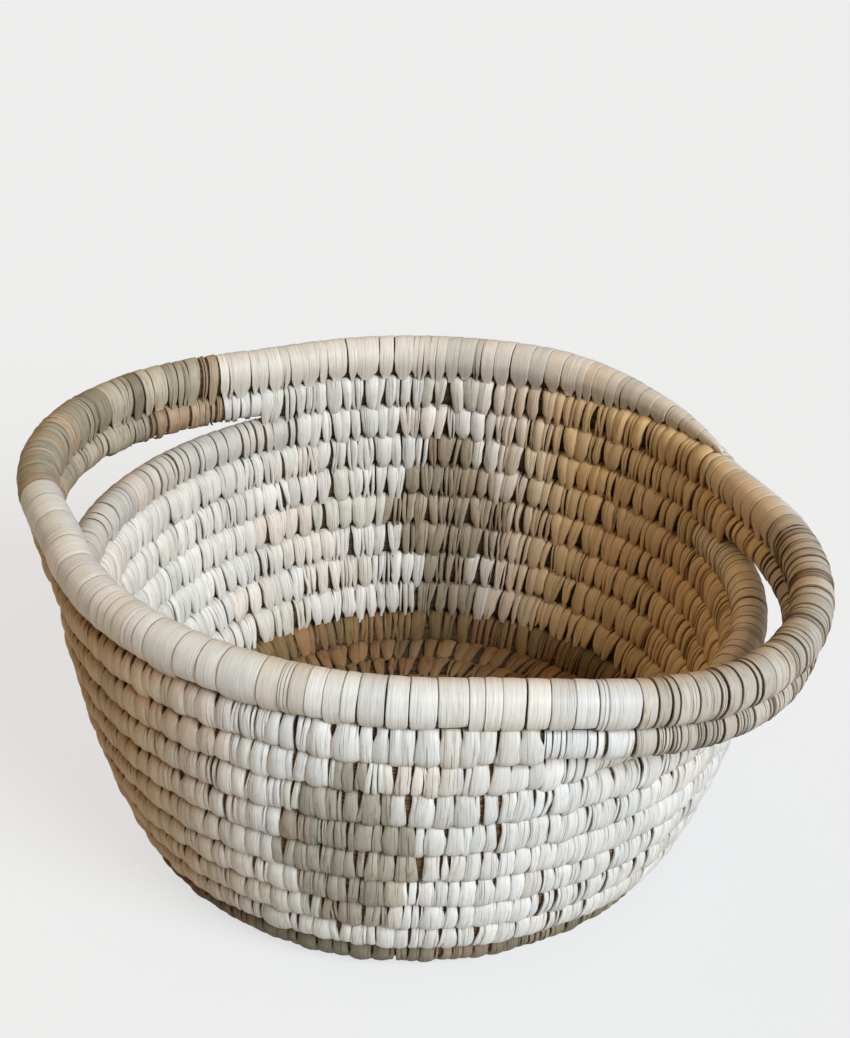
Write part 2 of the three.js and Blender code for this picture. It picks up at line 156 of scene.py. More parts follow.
class CoilPath:
    """The line that the middle of the coil follows, with the directions of its section."""

    GRID = 72
    FINE = 360
    PROFILE_STEP = 0.25 * MM
    HALVINGS = 40

    def __init__(self, sizes: CoilSizes, handles: tuple[HandleSizes, ...]) -> None:
        """Lays the turns and tabulates the path.

        Args:
            sizes: Driving sizes of the coil.
            handles: The handles that the last turns make.
        """
        self.sizes = sizes
        self.handles = handles
        self._draw_outline()
        self._lay_turns()
        self._tabulate()

    def lean(self, length: np.ndarray) -> np.ndarray:
        """Gives the wall's lean from upright.

        Args:
            length: Length along the wall's outline from the floor's edge.

        Returns:
            The lean in radians.
        """
        s = self.sizes
        climb = np.clip((length - s.corner_length) / (s.wall_length - s.corner_length), 0.0, 1.0)
        wall = np.radians(s.lean_top + (s.lean_foot - s.lean_top) * (1.0 - climb) ** s.lean_fade)
        corner = math.pi / 2 - np.clip(length, 0.0, None) / s.corner_radius
        return np.where(length < s.corner_length, corner, wall)

    def _draw_outline(self) -> None:
        """Draws the wall's outline in short steps, from the floor's edge up."""
        s = self.sizes
        steps = math.ceil((s.wall_length + 2 * s.rim) / self.PROFILE_STEP)
        self._marks = np.arange(steps + 1) * self.PROFILE_STEP
        lean = self.lean(self._marks[:-1] + self.PROFILE_STEP / 2)
        self._out = s.floor_edge + np.append(0.0, np.cumsum(np.sin(lean))) * self.PROFILE_STEP
        self._up = s.floor_height + np.append(0.0, np.cumsum(np.cos(lean))) * self.PROFILE_STEP

    def _outline(self, length: np.ndarray) -> tuple[np.ndarray, np.ndarray]:
        """Gives the distance from the axis and the height at a length along the outline."""
        out = np.interp(length, self._marks, self._out) + np.minimum(length, 0.0)
        return out, np.interp(length, self._marks, self._up)

    def diameter(self, turn: np.ndarray) -> np.ndarray:
        """Gives the thickness of the wrapped coil.

        Args:
            turn: Turns from the middle of the floor.

        Returns:
            The diameter in metres.
        """
        s = self.sizes
        rim_start = s.total_turns - 1.0
        swell = smooth(turn, rim_start, rim_start + s.swell_turns)
        thin = smooth(turn, s.total_turns - s.tip_turns, s.total_turns)
        body = s.coil + (s.rim - s.coil) * swell
        body = body + (s.tip - body) * thin
        return np.where(turn < s.fill_turns, s.pitch * (turn + s.fill_turns) - s.lay_gap, body)

    def _reach(self, diameter: np.ndarray, tilt: np.ndarray) -> np.ndarray:
        """Gives how far a coil reaches towards a row that lies at a tilt from its own lean."""
        return diameter / 2 * (np.cos(tilt) + self.sizes.shoulder * np.sin(np.abs(tilt)))

    def _length_above(self, below: np.ndarray, turn: np.ndarray) -> np.ndarray:
        """Finds where a row rests on the row below.

        Args:
            below: Lengths along the outline of the row below.
            turn: Turns of the row that is laid.

        Returns:
            Lengths along the outline of the row that is laid.
        """
        thick_below, thick = self.diameter(turn - 1.0), self.diameter(turn)
        seat_out, seat_up = self._outline(below)
        near, far = below.copy(), below + 2 * (thick_below + thick)
        for _ in range(self.HALVINGS):
            middle = (near + far) / 2
            out, up = self._outline(middle)
            heading = np.arctan2(out - seat_out, up - seat_up)
            apart = np.hypot(out - seat_out, up - seat_up)
            want = self._reach(thick_below, heading - self.lean(below))
            want = want + self._reach(thick, heading - self.lean(middle)) + self.sizes.lay_gap
            near = np.where(apart < want, middle, near)
            far = np.where(apart < want, far, middle)
        return (near + far) / 2

    def _lay_turns(self) -> None:
        """Lays the floor's turns side by side and each turn of the wall on the one below."""
        s = self.sizes
        first = math.floor(s.start_turn * self.GRID) - 1
        last = math.ceil(s.total_turns * self.GRID) + 1
        index = np.arange(first, last + 1)
        turn = index / self.GRID
        radius = np.where(turn < s.fill_turns, s.pitch * (turn + s.fill_turns) / 2, s.pitch * turn)
        length = radius - s.floor_edge
        climbing = int(np.argmax(turn > s.floor_turns))
        for start in range(climbing, len(index), self.GRID):
            span = slice(start, min(start + self.GRID, len(index)))
            below = length[span.start - self.GRID : span.stop - self.GRID]
            length[span] = self._length_above(below, turn[span])
        self._turn_marks, self._lengths = turn, length

    def _tabulate(self) -> None:
        """Works out the middles, directions and radii of the whole coil."""
        s = self.sizes
        count = round((s.total_turns - s.start_turn) * self.FINE)
        self.turns = np.linspace(s.start_turn, s.total_turns, count + 1)
        length = np.interp(self.turns, self._turn_marks, self._lengths)
        angle = np.radians(self.angle(self.turns))
        out, up = self._outline(length)
        oval = s.oval * np.clip(length / s.wall_length, 0.0, 1.0) ** 2
        out = out / np.hypot(np.cos(angle) / (1.0 + oval), np.sin(angle) / (1.0 - oval))
        lifted = self.turns > s.total_turns - s.handle_turns
        for handle in self.handles:
            share = self.handle_share(handle, self.angle(self.turns)) * lifted
            out = out + handle.bow * share
            up = up - handle.dip * share**2
        outward = np.stack([np.cos(angle), np.sin(angle), np.zeros_like(angle)], 1)
        upward = np.array([0.0, 0.0, 1.0])
        self.centres = outward * out[:, None] + upward * up[:, None]
        step = np.gradient(self.centres, axis=0)
        speed = np.linalg.norm(step, axis=1)
        heading = step / speed[:, None]
        self.arcs = np.append(0.0, np.cumsum((speed[1:] + speed[:-1]) / 2))
        lean = self.lean(length)[:, None]
        along = outward * np.sin(lean) + upward * np.cos(lean)
        along -= heading * np.sum(along * heading, 1)[:, None]
        self.along = along / np.linalg.norm(along, axis=1)[:, None]
        self.across = np.cross(self.along, heading)
        left = np.clip((self.arcs[-1] - self.arcs) / s.tip_round, 0.0, 1.0)
        full = self.diameter(self.turns) / 2
        self.radii = full * np.sqrt(1.0 - (1.0 - left) ** 2)
        self.centres -= self.along * (full - self.radii)[:, None]

    def angle(self, turn: np.ndarray | float) -> np.ndarray | float:
        """Gives the angle from +X in degrees at a turn of the coil. It falls as the coil climbs."""
        return self.sizes.end_angle + 360.0 * (self.sizes.total_turns - turn)

    def handle_share(self, handle: HandleSizes, angle: np.ndarray) -> np.ndarray:
        """Gives the share of a handle's bow.

        Args:
            handle: The handle.
            angle: Angles in degrees.

        Returns:
            1 in the handle's middle and 0 where it meets the wall.
        """
        away = (angle - handle.angle + 180.0) % 360.0 - 180.0
        share = np.minimum(np.abs(away) / handle.half_span, 1.0)
        return (1.0 - share**self.sizes.handle_flank) ** 2

    def turn_at(self, row: int, angle: float) -> float:
        """Finds the turn at an angle, counted up from the rim's tip, in a row counted down from the rim."""
        return self.sizes.total_turns - (row - 1) - (angle - self.sizes.end_angle) / 360.0

    def arc_at(self, turn: float) -> float:
        """Gives the length of coil up to a turn."""
        return float(np.interp(turn, self.turns, self.arcs))

    def sections(self, arc: np.ndarray) -> tuple[np.ndarray, np.ndarray, np.ndarray, np.ndarray]:
        """Gives the middles and directions of the coil's sections.

        Args:
            arc: Lengths of coil, in metres.

        Returns:
            Middles, directions across the wall, directions along the wall, and radii.
        """
        place = np.interp(arc, self.arcs, np.arange(len(self.arcs)))
        low = np.clip(place.astype(int), 0, len(self.arcs) - 2)
        share = place - low

        def between(table: np.ndarray) -> np.ndarray:
            """Reads a table between its rows."""
            weight = share.reshape(share.shape + (1,) * (table.ndim - 1))
            return table[low] * (1.0 - weight) + table[low + 1] * weight

        return between(self.centres), between(self.across), between(self.along), between(self.radii)


class LoopKind(Enum):
    """The ways a strip can go round the coil."""

    WALL = "sewn to the row below, under the row above"
    RIM = "sewn to the row below, with a free top"
    GRIP = "right round the coil"


@dataclass(frozen=True)
class Loop:
    """A line round the coil's section, from its inside end over the top to its outside end.

    Knots are (across, along) in radii of the coil, from the crest down to the tucked end.
    """

    inside: tuple[tuple[float, float], ...]
    outside: tuple[tuple[float, float], ...]
    STEPS = 12

    def sample(self, count: int) -> tuple[np.ndarray, np.ndarray, float]:
        """Draws a smooth line through the knots.

        Args:
            count: Points along the line.

        Returns:
            Points, outward normals and the line's length in radii.
        """
        knots = np.array([*self.inside[::-1], *self.outside[1:]])
        ends = np.vstack([2 * knots[0] - knots[1], knots, 2 * knots[-1] - knots[-2]])
        share = np.linspace(0.0, 1.0, self.STEPS, endpoint=False)[:, None]
        parts = []
        for a, b, c, d in zip(ends, ends[1:], ends[2:], ends[3:]):
            bend = 2 * b + (c - a) * share + (2 * a - 5 * b + 4 * c - d) * share**2
            parts.append((bend + (3 * b - a - 3 * c + d) * share**3) / 2)
        line = np.vstack([*parts, knots[-1:]])
        marks = np.append(0.0, np.cumsum(np.linalg.norm(np.diff(line, axis=0), axis=1)))
        wanted = np.linspace(0.0, marks[-1], count)
        points = np.stack([np.interp(wanted, marks, line[:, k]) for k in (0, 1)], 1)
        step = np.gradient(points, axis=0)
        normals = np.stack([-step[:, 1], step[:, 0]], 1)
        return points, normals / np.linalg.norm(normals, axis=1)[:, None], float(marks[-1])


LOOPS = {
    LoopKind.WALL: Loop(
        inside=(
            (0, 1.0),
            (-0.55, 0.92),
            (-0.9, 0.6),
            (-1.02, 0.1),
            (-1.0, -0.4),
            (-0.93, -0.82),
            (-0.85, -1.1),
            (-0.83, -1.32),
        ),
        outside=(
            (0, 1.0),
            (0.55, 0.92),
            (0.9, 0.6),
            (1.02, 0.1),
            (1.02, -0.44),
            (0.91, -0.86),
            (0.72, -1.1),
            (0.52, -1.2),
        ),
    ),
    LoopKind.RIM: Loop(
        inside=(
            (0, 1.0),
            (-0.71, 0.71),
            (-1.0, 0),
            (-0.93, -0.5),
            (-0.8, -0.88),
            (-0.71, -1.1),
            (-0.69, -1.28),
        ),
        outside=((0, 1.0), (0.71, 0.71), (1.0, 0), (0.91, -0.52), (0.7, -0.88), (0.45, -1.06)),
    ),
    LoopKind.GRIP: Loop(
        inside=((0, 1.0), (-0.71, 0.71), (-1.0, 0), (-0.71, -0.71), (-0.05, -1.0), (0.1, -0.97)),
        outside=((0, 1.0), (0.71, 0.71), (1.0, 0), (0.71, -0.71), (0.05, -1.02), (-0.1, -1.03)),
    ),
}


@dataclass(frozen=True)
class StripStyle:
    """How strips are laid in a run. Lengths in metres, shares of a strip's width."""

    loop: LoopKind
    pitch: float = 5.8 * MM
    spread: float = 0.26
    overlap: float = 0.58 * MM
    gap: float = 0.1 * MM
    widths: tuple[float, ...] = (0.46, 0.85, 0.91, 0.9, 0.9, 0.9, 1.04, 1.13, 0.88)
    rough: float = 0.08
    waist: float = 0.22
    slant: float = 1.1 * MM
    sway: float = 1.05 * MM
    wander: float = 0.25 * MM
    stretch: float = 0.09
    bulge: float = 0.85 * MM
    lift: float = 0.14 * MM
    tilt: float = 0.2 * MM
    split: float = 0.3
    most_slats: int = 3
    slat_gap: float = 0.09 * MM
    # painted shade: how much of it a run takes, and the least share inside where the lamp falls
    painted_shade_share: float = 1.0
    least_inside_shade: float = 0.15
    longest_leaf: int = 7
    shade_spread: float = 0.04


class Style(Enum):
    """The kinds of strip work on the basket."""

    WALL = StripStyle(LoopKind.WALL)
    MOTIF = StripStyle(LoopKind.WALL, pitch=5.0 * MM, spread=0.3, sway=1.3 * MM, split=0.5, least_inside_shade=0.35)
    FOOT = StripStyle(
        LoopKind.WALL,
        pitch=5.6 * MM,
        widths=(0.44, 0.8, 0.87, 0.88, 0.9, 0.9, 1.04, 1.13, 0.88),
        split=0.5,
        slat_gap=0.2 * MM,
        least_inside_shade=0.9,
        longest_leaf=4,
        shade_spread=0.09,
    )
    FLOOR = StripStyle(
        LoopKind.WALL,
        pitch=6.4 * MM,
        spread=0.3,
        overlap=0.32 * MM,
        gap=0.28 * MM,
        slant=2.6 * MM,
        bulge=0.9 * MM,
        most_slats=2,
        slat_gap=0.2 * MM,
        painted_shade_share=0.8,
        longest_leaf=5,
        shade_spread=0.1,
    )
    RIM = StripStyle(
        LoopKind.RIM,
        pitch=11.4 * MM,
        spread=0.34,
        overlap=0.12 * MM,
        gap=0.3 * MM,
        widths=(0.42, 0.94, 1.0, 1.0, 1.0, 1.0, 1.0, 0.98, 0.76),
        rough=0.02,
        waist=0.0,
        slant=0.9 * MM,
        sway=0.4 * MM,
        wander=0.1 * MM,
        bulge=0.12 * MM,
        lift=0.1 * MM,
        tilt=0.16 * MM,
        split=0.15,
        slat_gap=0.05 * MM,
        painted_shade_share=0.22,
        least_inside_shade=0.4,
    )
    EDGE = replace(
        RIM,
        pitch=5.2 * MM,
        spread=0.38,
        overlap=-0.7 * MM,
        gap=0.45 * MM,
        painted_shade_share=0.8,
        least_inside_shade=0.15,
    )
    RIGHT_EDGE = replace(EDGE, overlap=0.1 * MM, gap=0.3 * MM, painted_shade_share=0.7)
    FRONT_RIM = replace(RIM, pitch=7.6 * MM)
    BACK_RIM = replace(RIM, pitch=7.0 * MM, painted_shade_share=0.4, least_inside_shade=0.6)
    TIP = replace(RIM, pitch=7.0 * MM, painted_shade_share=0.75)
    GRIP = replace(
        RIM,
        pitch=5.4 * MM,
        spread=0.42,
        overlap=-0.28 * MM,
        gap=0.38 * MM,
        widths=(0.6, 0.97, 1.0, 1.0, 1.0, 1.0, 1.0, 0.98, 0.8),
        slant=1.6 * MM,
        sway=0.8 * MM,
        bulge=0.14 * MM,
        lift=0.14 * MM,
        split=0.5,
        slat_gap=0.18 * MM,
        painted_shade_share=0.5,
        least_inside_shade=0.11,
        longest_leaf=3,
        shade_spread=0.09,
    )
    UNDER_GRIP = replace(GRIP, loop=LoopKind.GRIP, widths=(1.0,) * 9)
    FLANK = replace(
        UNDER_GRIP,
        overlap=-0.1 * MM,
        gap=0.3 * MM,
        painted_shade_share=1.0,
        longest_leaf=7,
        shade_spread=0.04,
    )


@dataclass(frozen=True)
class Leaf:
    """A colour of dried leaf, as shown, and how often it turns up."""

    red: float
    green: float
    blue: float
    share: float = 1.0


class Palette(Enum):
    """The leaves that each part of the basket is wrapped in."""

    CREAM = (
        Leaf(0.880, 0.890, 0.890, 6.0),
        Leaf(0.876, 0.880, 0.872, 4.0),
        Leaf(0.868, 0.884, 0.884, 3.0),
        Leaf(0.846, 0.858, 0.850, 1.6),
        Leaf(0.880, 0.872, 0.852, 1.2),
        Leaf(0.830, 0.838, 0.808, 0.6),
        Leaf(0.860, 0.842, 0.806, 0.4),
    )
    PALE = (
        Leaf(0.880, 0.884, 0.875, 6.0),
        Leaf(0.873, 0.870, 0.851, 3.0),
        Leaf(0.865, 0.875, 0.867, 2.0),
        Leaf(0.866, 0.857, 0.828, 1.2),
        Leaf(0.847, 0.828, 0.789, 0.5),
    )
    EDGE = (
        Leaf(0.812, 0.808, 0.792, 4.0),
        Leaf(0.796, 0.784, 0.760, 3.0),
        Leaf(0.776, 0.776, 0.764, 2.0),
        Leaf(0.806, 0.778, 0.752, 2.0),
    )
    OLIVE = (
        Leaf(0.680, 0.655, 0.580, 4.0),
        Leaf(0.640, 0.615, 0.540, 3.0),
        Leaf(0.730, 0.700, 0.630, 2.5),
        Leaf(0.600, 0.570, 0.490, 1.5),
        Leaf(0.690, 0.625, 0.530, 2.0),
        Leaf(0.550, 0.520, 0.440, 0.8),
    )
    FAWN = (
        Leaf(0.690, 0.590, 0.470, 3.0),
        Leaf(0.650, 0.560, 0.455, 2.0),
        Leaf(0.710, 0.625, 0.520, 1.0),
    )
    GREY = (
        Leaf(0.765, 0.745, 0.705, 4.0),
        Leaf(0.745, 0.725, 0.685, 3.0),
        Leaf(0.770, 0.735, 0.680, 2.0),
        Leaf(0.715, 0.695, 0.650, 1.5),
        Leaf(0.735, 0.690, 0.625, 0.8),
    )
    MOTIF = (
        Leaf(0.670, 0.655, 0.605, 4.0),
        Leaf(0.630, 0.620, 0.570, 3.0),
        Leaf(0.700, 0.680, 0.625, 2.0),
        Leaf(0.640, 0.600, 0.540, 1.5),
        Leaf(0.760, 0.740, 0.685, 0.6),
    )
    DARK = (
        Leaf(0.530, 0.505, 0.432, 4.0),
        Leaf(0.500, 0.482, 0.414, 3.0),
        Leaf(0.585, 0.545, 0.460, 2.0),
        Leaf(0.546, 0.482, 0.414, 2.5),
    )
    TAN = (
        Leaf(0.562, 0.455, 0.316, 4.0),
        Leaf(0.540, 0.442, 0.308, 3.0),
        Leaf(0.592, 0.466, 0.318, 2.0),
        Leaf(0.566, 0.440, 0.306, 1.2),
        Leaf(0.515, 0.445, 0.318, 1.4),
    )


@dataclass(frozen=True)
class PaintedShade:
    """Painted shade: leaf is painted brown on the faces turned away from the lamp and kept pale on those
    turned to it.

    Sun and shade are angles in degrees. The fades say how squarely a face must look there, from -1 to 1.
    """

    # sun is the way the lamp shines from, shade the way that the outside faces painted darkest turn to
    sun: float = -10.0
    shade: float = 210.0
    # colours of painted shade that the leaf is multiplied by, inside and outside
    inside: tuple[float, float, float] = (1.0, 0.68, 0.345)
    outside: tuple[float, float, float] = (0.82, 0.61, 0.38)
    inside_fade: tuple[float, float] = (-0.45, 0.15)
    outside_fade: tuple[float, float] = (0.5, 0.95)

    def tint(self, angle: float, inside: np.ndarray, least: float) -> np.ndarray:
        """Gives the painted shade that a leaf's colour is multiplied by.

        Args:
            angle: Where the strip lies round the basket, in degrees.
            inside: Share of each place along the strip that faces the basket's inside.
            least: Least share of painted shade that the inside takes.

        Returns:
            Linear colours, one for each place.
        """
        painted_shade_inside = max(float(smooth(self._turned(angle, self.sun), *self.inside_fade)), least)
        inner = 1.0 - painted_shade_inside * (1.0 - np.array(self.inside))
        outer = 1.0 - self.painted_shade_outside(angle) * (1.0 - np.array(self.outside))
        return inside[:, None] * inner + (1.0 - inside[:, None]) * outer

    def painted_shade_outside(self, angle: float) -> float:
        """Gives the share of painted shade that a leaf at an angle takes on the basket's outside."""
        return float(smooth(self._turned(angle, self.shade), *self.outside_fade))

    @staticmethod
    def _turned(angle: float, towards: float) -> float:
        """Gives how squarely a face at an angle looks towards another angle."""
        return math.cos(math.radians(angle - towards))


class LeafSupply:
    """Hands out leaf colours. A leaf lasts for a few stitches before the next one is taken up."""

    SHORTEST = 1
    DARKEST = 0.02
    PALEST = 0.9

    def __init__(self, palette: Palette, style: StripStyle, rng: np.random.Generator) -> None:
        """Starts with an empty hand.

        Args:
            palette: The leaves to draw from.
            style: How long a leaf lasts and how far its shade varies.
            rng: Source of chance.
        """
        self._leaves = palette.value
        self._style = style
        self._odds = np.array([leaf.share for leaf in self._leaves])
        self._odds = self._odds / self._odds.sum()
        self._rng = rng
        self._left = 0
        self._leaf = self._leaves[0]

    def take(self) -> np.ndarray:
        """Takes the colour of the next stitch.

        Returns:
            The linear colour.
        """
        if self._left == 0:
            self._leaf = self._leaves[self._rng.choice(len(self._leaves), p=self._odds)]
            self._left = int(self._rng.integers(self.SHORTEST, self._style.longest_leaf))
        self._left -= 1
        shade = 1.0 + self._rng.normal(0.0, self._style.shade_spread)
        colour = linear(self._leaf.red, self._leaf.green, self._leaf.blue)
        return np.clip(colour * shade, self.DARKEST, self.PALEST)


@dataclass(frozen=True)
class Strip:
    """One strip of leaf, with lengths in metres.

    Arc is the length of coil at its stitch's middle, half is half of its width, shift is its place beside
    that middle, tint is its linear colour, and fork is how far its outside top leans from that middle.
    """

    style: StripStyle
    arc: float
    half: float
    shift: float
    tint: np.ndarray
    fork: float


@dataclass(frozen=True)
class StripShape:
    """What all strips share: lengths in metres, places as shares of the way from the inside end.

    Pairs of places are where a change starts and ends. Pairs of shares are in the sun and added in the shade.
    """

    outside_top: int = 5
    waist: tuple[float, float] = (0.5, 2.3)
    outside_slant: float = 0.3
    outside_sway: float = 0.48
    fork_opens: tuple[float, float] = (0.5, 0.62)
    fork_closes: tuple[float, float] = (0.62, 0.85)
    crown: float = 2.2
    bulged_half: float = 3 * MM
    sink: float = 0.5
    least_tilt: float = 0.5
    tuck: tuple[float, float] = (0.46, 0.5)
    full_radius: float = 7 * MM
    pull: tuple[float, float] = (0.4, 1.1)
    pressed: float = 1.2 * MM
    inward: tuple[float, float] = (0.5, -0.5)
    skirt: float = 0.9 * MM


@dataclass(frozen=True)
class StripWearAndShade:
    """Where dirt, stain and painted shade go on a strip, as for its shape."""

    # edge and skirt: where edges darken, partly dirt and partly painted shade between strips, more on the
    # turned-down skirts
    edge: float = 0.5 * MM
    skirt: float = 0.6
    # crest: brown outside tops, partly stain and partly painted shade under the row above; groove: painted
    # shade at the row bottoms; both more on the shaded side
    crest: tuple[float, float] = (0.15, 0.85)
    crest_places: tuple[float, float] = (0.62, 0.15)
    groove: tuple[float, float] = (0.4, 0.5)
    groove_places: tuple[float, float] = (0.72, 0.97)
    leaf_per_radius: float = 7.0
    leaves: float = 60.0


class StripMesh:
    """Collects strips of leaf and turns them into one mesh."""

    ROWS = 26
    COLUMNS = np.array([-1.0, -1.0, -0.88, -0.55, 0.0, 0.55, 0.88, 1.0, 1.0])
    SKIRT = np.array([1.0, 0.0, 0.0, 0.0, 0.0, 0.0, 0.0, 0.0, 1.0])
    MIDDLE = 0.5
    PLACES = np.linspace(0.0, 1.0, ROWS)
    OUTSIDE = PLACES > MIDDLE
    SHAPE = StripShape()
    WEAR_AND_SHADE = StripWearAndShade()
    PAINTED_SHADE = PaintedShade()
    UV_MARGIN = 0.06
    UV_LONG = 6.0
    UV_SKIRT = 0.5

    def __init__(self, path: CoilPath) -> None:
        """Starts with no strips.

        Args:
            path: The coil that the strips go round.
        """
        self._path = path
        self._points: list[np.ndarray] = []
        self._tints: list[np.ndarray] = []
        self._leaf: list[np.ndarray] = []
        self._wear_and_shade: list[np.ndarray] = []

    def add(self, strip: Strip, rng: np.random.Generator) -> None:
        """Lays one strip round the coil.

        Args:
            strip: The strip.
            rng: Source of chance.
        """
        style = strip.style
        points, normals, length = LOOPS[style.loop].sample(self.ROWS)
        angle = float(self._path.angle(np.interp(strip.arc, self._path.arcs, self._path.turns)))
        shaded = self.PAINTED_SHADE.painted_shade_outside(angle)
        width = self._width(strip, shaded, rng)
        arcs = strip.arc + self._drift(strip, points, width, rng)[:, None] + width[:, None] * self.COLUMNS
        height = self._height(strip, rng)
        points = self._pulled(style, points, rng)
        self._points.append(self._laid(arcs, points, normals, height))
        # painted shade: strips turned away from the lamp are painted browner and darker
        kept = self.PAINTED_SHADE.tint(angle, smooth(points[:, 0], *self.SHAPE.inward), style.least_inside_shade)
        painted_shade_tint = strip.tint * (1.0 - style.painted_shade_share * (1.0 - kept))
        self._tints.append(np.repeat(painted_shade_tint[:, None], len(self.COLUMNS), axis=1))
        leaf = np.empty((self.ROWS, len(self.COLUMNS), 3))
        leaf[..., 0] = (width[:, None] * self.COLUMNS + strip.shift) / MM
        leaf[..., 1] = (self.PLACES * length * self.WEAR_AND_SHADE.leaf_per_radius)[:, None]
        leaf[..., 2] = rng.random() * self.WEAR_AND_SHADE.leaves
        self._leaf.append(leaf)
        self._wear_and_shade.append(self._worn_and_shaded(style, width, shaded, rng))

    def _width(self, strip: Strip, shaded: float, rng: np.random.Generator) -> np.ndarray:
        """Cuts a strip to shape.

        Args:
            strip: The strip.
            shaded: Share of painted shade that it takes outside. Strips on the shaded side are more waisted.
            rng: Source of chance.

        Returns:
            Half of its width at each place.
        """
        style, (least, more) = strip.style, self.SHAPE.waist
        knots = np.linspace(0.0, 1.0, len(style.widths))
        shares = np.array(style.widths) * (1.0 + rng.normal(0.0, style.rough, len(style.widths)))
        shares[self.SHAPE.outside_top] *= 1.0 - style.waist * (least + more * shaded) * rng.random()
        low = np.clip(np.searchsorted(knots, self.PLACES, side="right") - 1, 0, len(knots) - 2)
        ease = smooth((self.PLACES - knots[low]) / (knots[1] - knots[0]), 0.0, 1.0)
        return strip.half * (shares[low] * (1 - ease) + shares[low + 1] * ease)

    def _drift(
        self, strip: Strip, points: np.ndarray, width: np.ndarray, rng: np.random.Generator
    ) -> np.ndarray:
        """Leans a strip along the coil.

        Args:
            strip: The strip.
            points: Places round the coil's section.
            width: Half of its width at each place.
            rng: Source of chance.

        Returns:
            How far each place lies from the stitch's middle.
        """
        style, shape = strip.style, self.SHAPE
        leans = (-style.slant, shape.outside_slant * style.slant)
        inner, outer = rng.normal(leans, (style.sway, shape.outside_sway * style.sway))
        fall = (1.0 - points[:, 1]) / 2
        wander = rng.normal(0.0, style.wander)
        wander = wander + rng.normal(0.0, style.wander) * (self.PLACES - self.MIDDLE)
        fork = smooth(self.PLACES, *shape.fork_opens) * (1 - smooth(self.PLACES, *shape.fork_closes))
        lean = fall * np.where(self.OUTSIDE, outer, inner)
        return lean + strip.shift * width / strip.half + wander + strip.fork * fork

    def _height(self, strip: Strip, rng: np.random.Generator) -> np.ndarray:
        """Bulges, lifts and tilts a strip and tucks its ends in.

        Args:
            strip: The strip.
            rng: Source of chance.

        Returns:
            How far each place stands off the coil.
        """
        style, shape = strip.style, self.SHAPE
        crown = style.bulge * (strip.half / shape.bulged_half) * (1 - np.abs(self.COLUMNS) ** shape.crown)
        lift = rng.normal(0.0, style.lift) * shape.sink + abs(rng.normal(0.0, style.lift))
        tilt = (shape.least_tilt + rng.random()) * style.tilt * self.COLUMNS
        stand = 1 - smooth(np.abs(self.PLACES - self.MIDDLE), *shape.tuck)
        return stand[:, None] * (crown + lift + tilt - shape.skirt * self.SKIRT)

    def _pulled(self, style: StripStyle, points: np.ndarray, rng: np.random.Generator) -> np.ndarray:
        """Pulls the two ends of a strip up or down by chance.

        Args:
            style: How the strip lies.
            points: Places round the coil's section.
            rng: Source of chance.

        Returns:
            The moved places.
        """
        inner, outer = rng.normal(0.0, style.stretch, 2)
        reach = 1.0 + np.where(self.OUTSIDE, outer, inner) * smooth(-points[:, 1], *self.SHAPE.pull)
        return points * np.stack([np.ones_like(reach), reach], 1)

    def _laid(
        self, arcs: np.ndarray, points: np.ndarray, normals: np.ndarray, height: np.ndarray
    ) -> np.ndarray:
        """Lays a strip on the coil and presses it flat on the ground.

        Args:
            arcs: Length of coil at each place.
            points: Places round the coil's section.
            normals: Directions off the coil.
            height: How far each place stands off the coil.

        Returns:
            Points in space.
        """
        centre, across, along, radius = self._path.sections(arcs)
        height = height * np.minimum(radius / self.SHAPE.full_radius, 1.0)
        out = points[:, :1] * radius + normals[:, :1] * height
        up = points[:, 1:] * radius + normals[:, 1:] * height
        place = centre + across * out[..., None] + along * up[..., None]
        low, tall = self.SHAPE.pressed, place[..., 2]
        place[..., 2] = np.where(tall < low, low * np.exp((tall - low) / low), tall)
        return place

    def _worn_and_shaded(
        self, style: StripStyle, width: np.ndarray, shaded: float, rng: np.random.Generator
    ) -> np.ndarray:
        """Wears a strip and marks where shade is painted on it.

        Args:
            style: How the strip lies.
            width: Half of its width at each place.
            shaded: Share of painted shade that it takes outside.
            rng: Source of chance.

        Returns:
            Nearness to the edge, for edge dirt and painted shade; brown that is partly stain and partly
            painted shade; and age, for each place.
        """
        own, away = self.WEAR_AND_SHADE, np.abs(2.0 * self.PLACES - 1.0)
        # painted shade at the foot of each outside stitch, in the groove over the row below, more on the
        # shaded side
        stain = (own.groove[0] + own.groove[1] * shaded) * smooth(away, *own.groove_places)
        if style.loop is LoopKind.WALL:
            # brown crest: partly stain, partly painted shade under the row above, more on the shaded side
            crest = (own.crest[0] + own.crest[1] * shaded) * smooth(away, *own.crest_places)
            stain = np.maximum(crest, stain)
        wear_and_shade = np.empty((self.ROWS, len(self.COLUMNS), 3))
        inset = (1.0 - np.abs(self.COLUMNS)) * width[:, None]
        # edge darkening: partly dirt, partly painted shade in the gaps between strips
        wear_and_shade[..., 0] = 1.0 - inset / own.edge + self.SKIRT * own.skirt
        wear_and_shade[..., 1] = (stain * self.OUTSIDE)[:, None]
        wear_and_shade[..., 2] = rng.random()
        return wear_and_shade

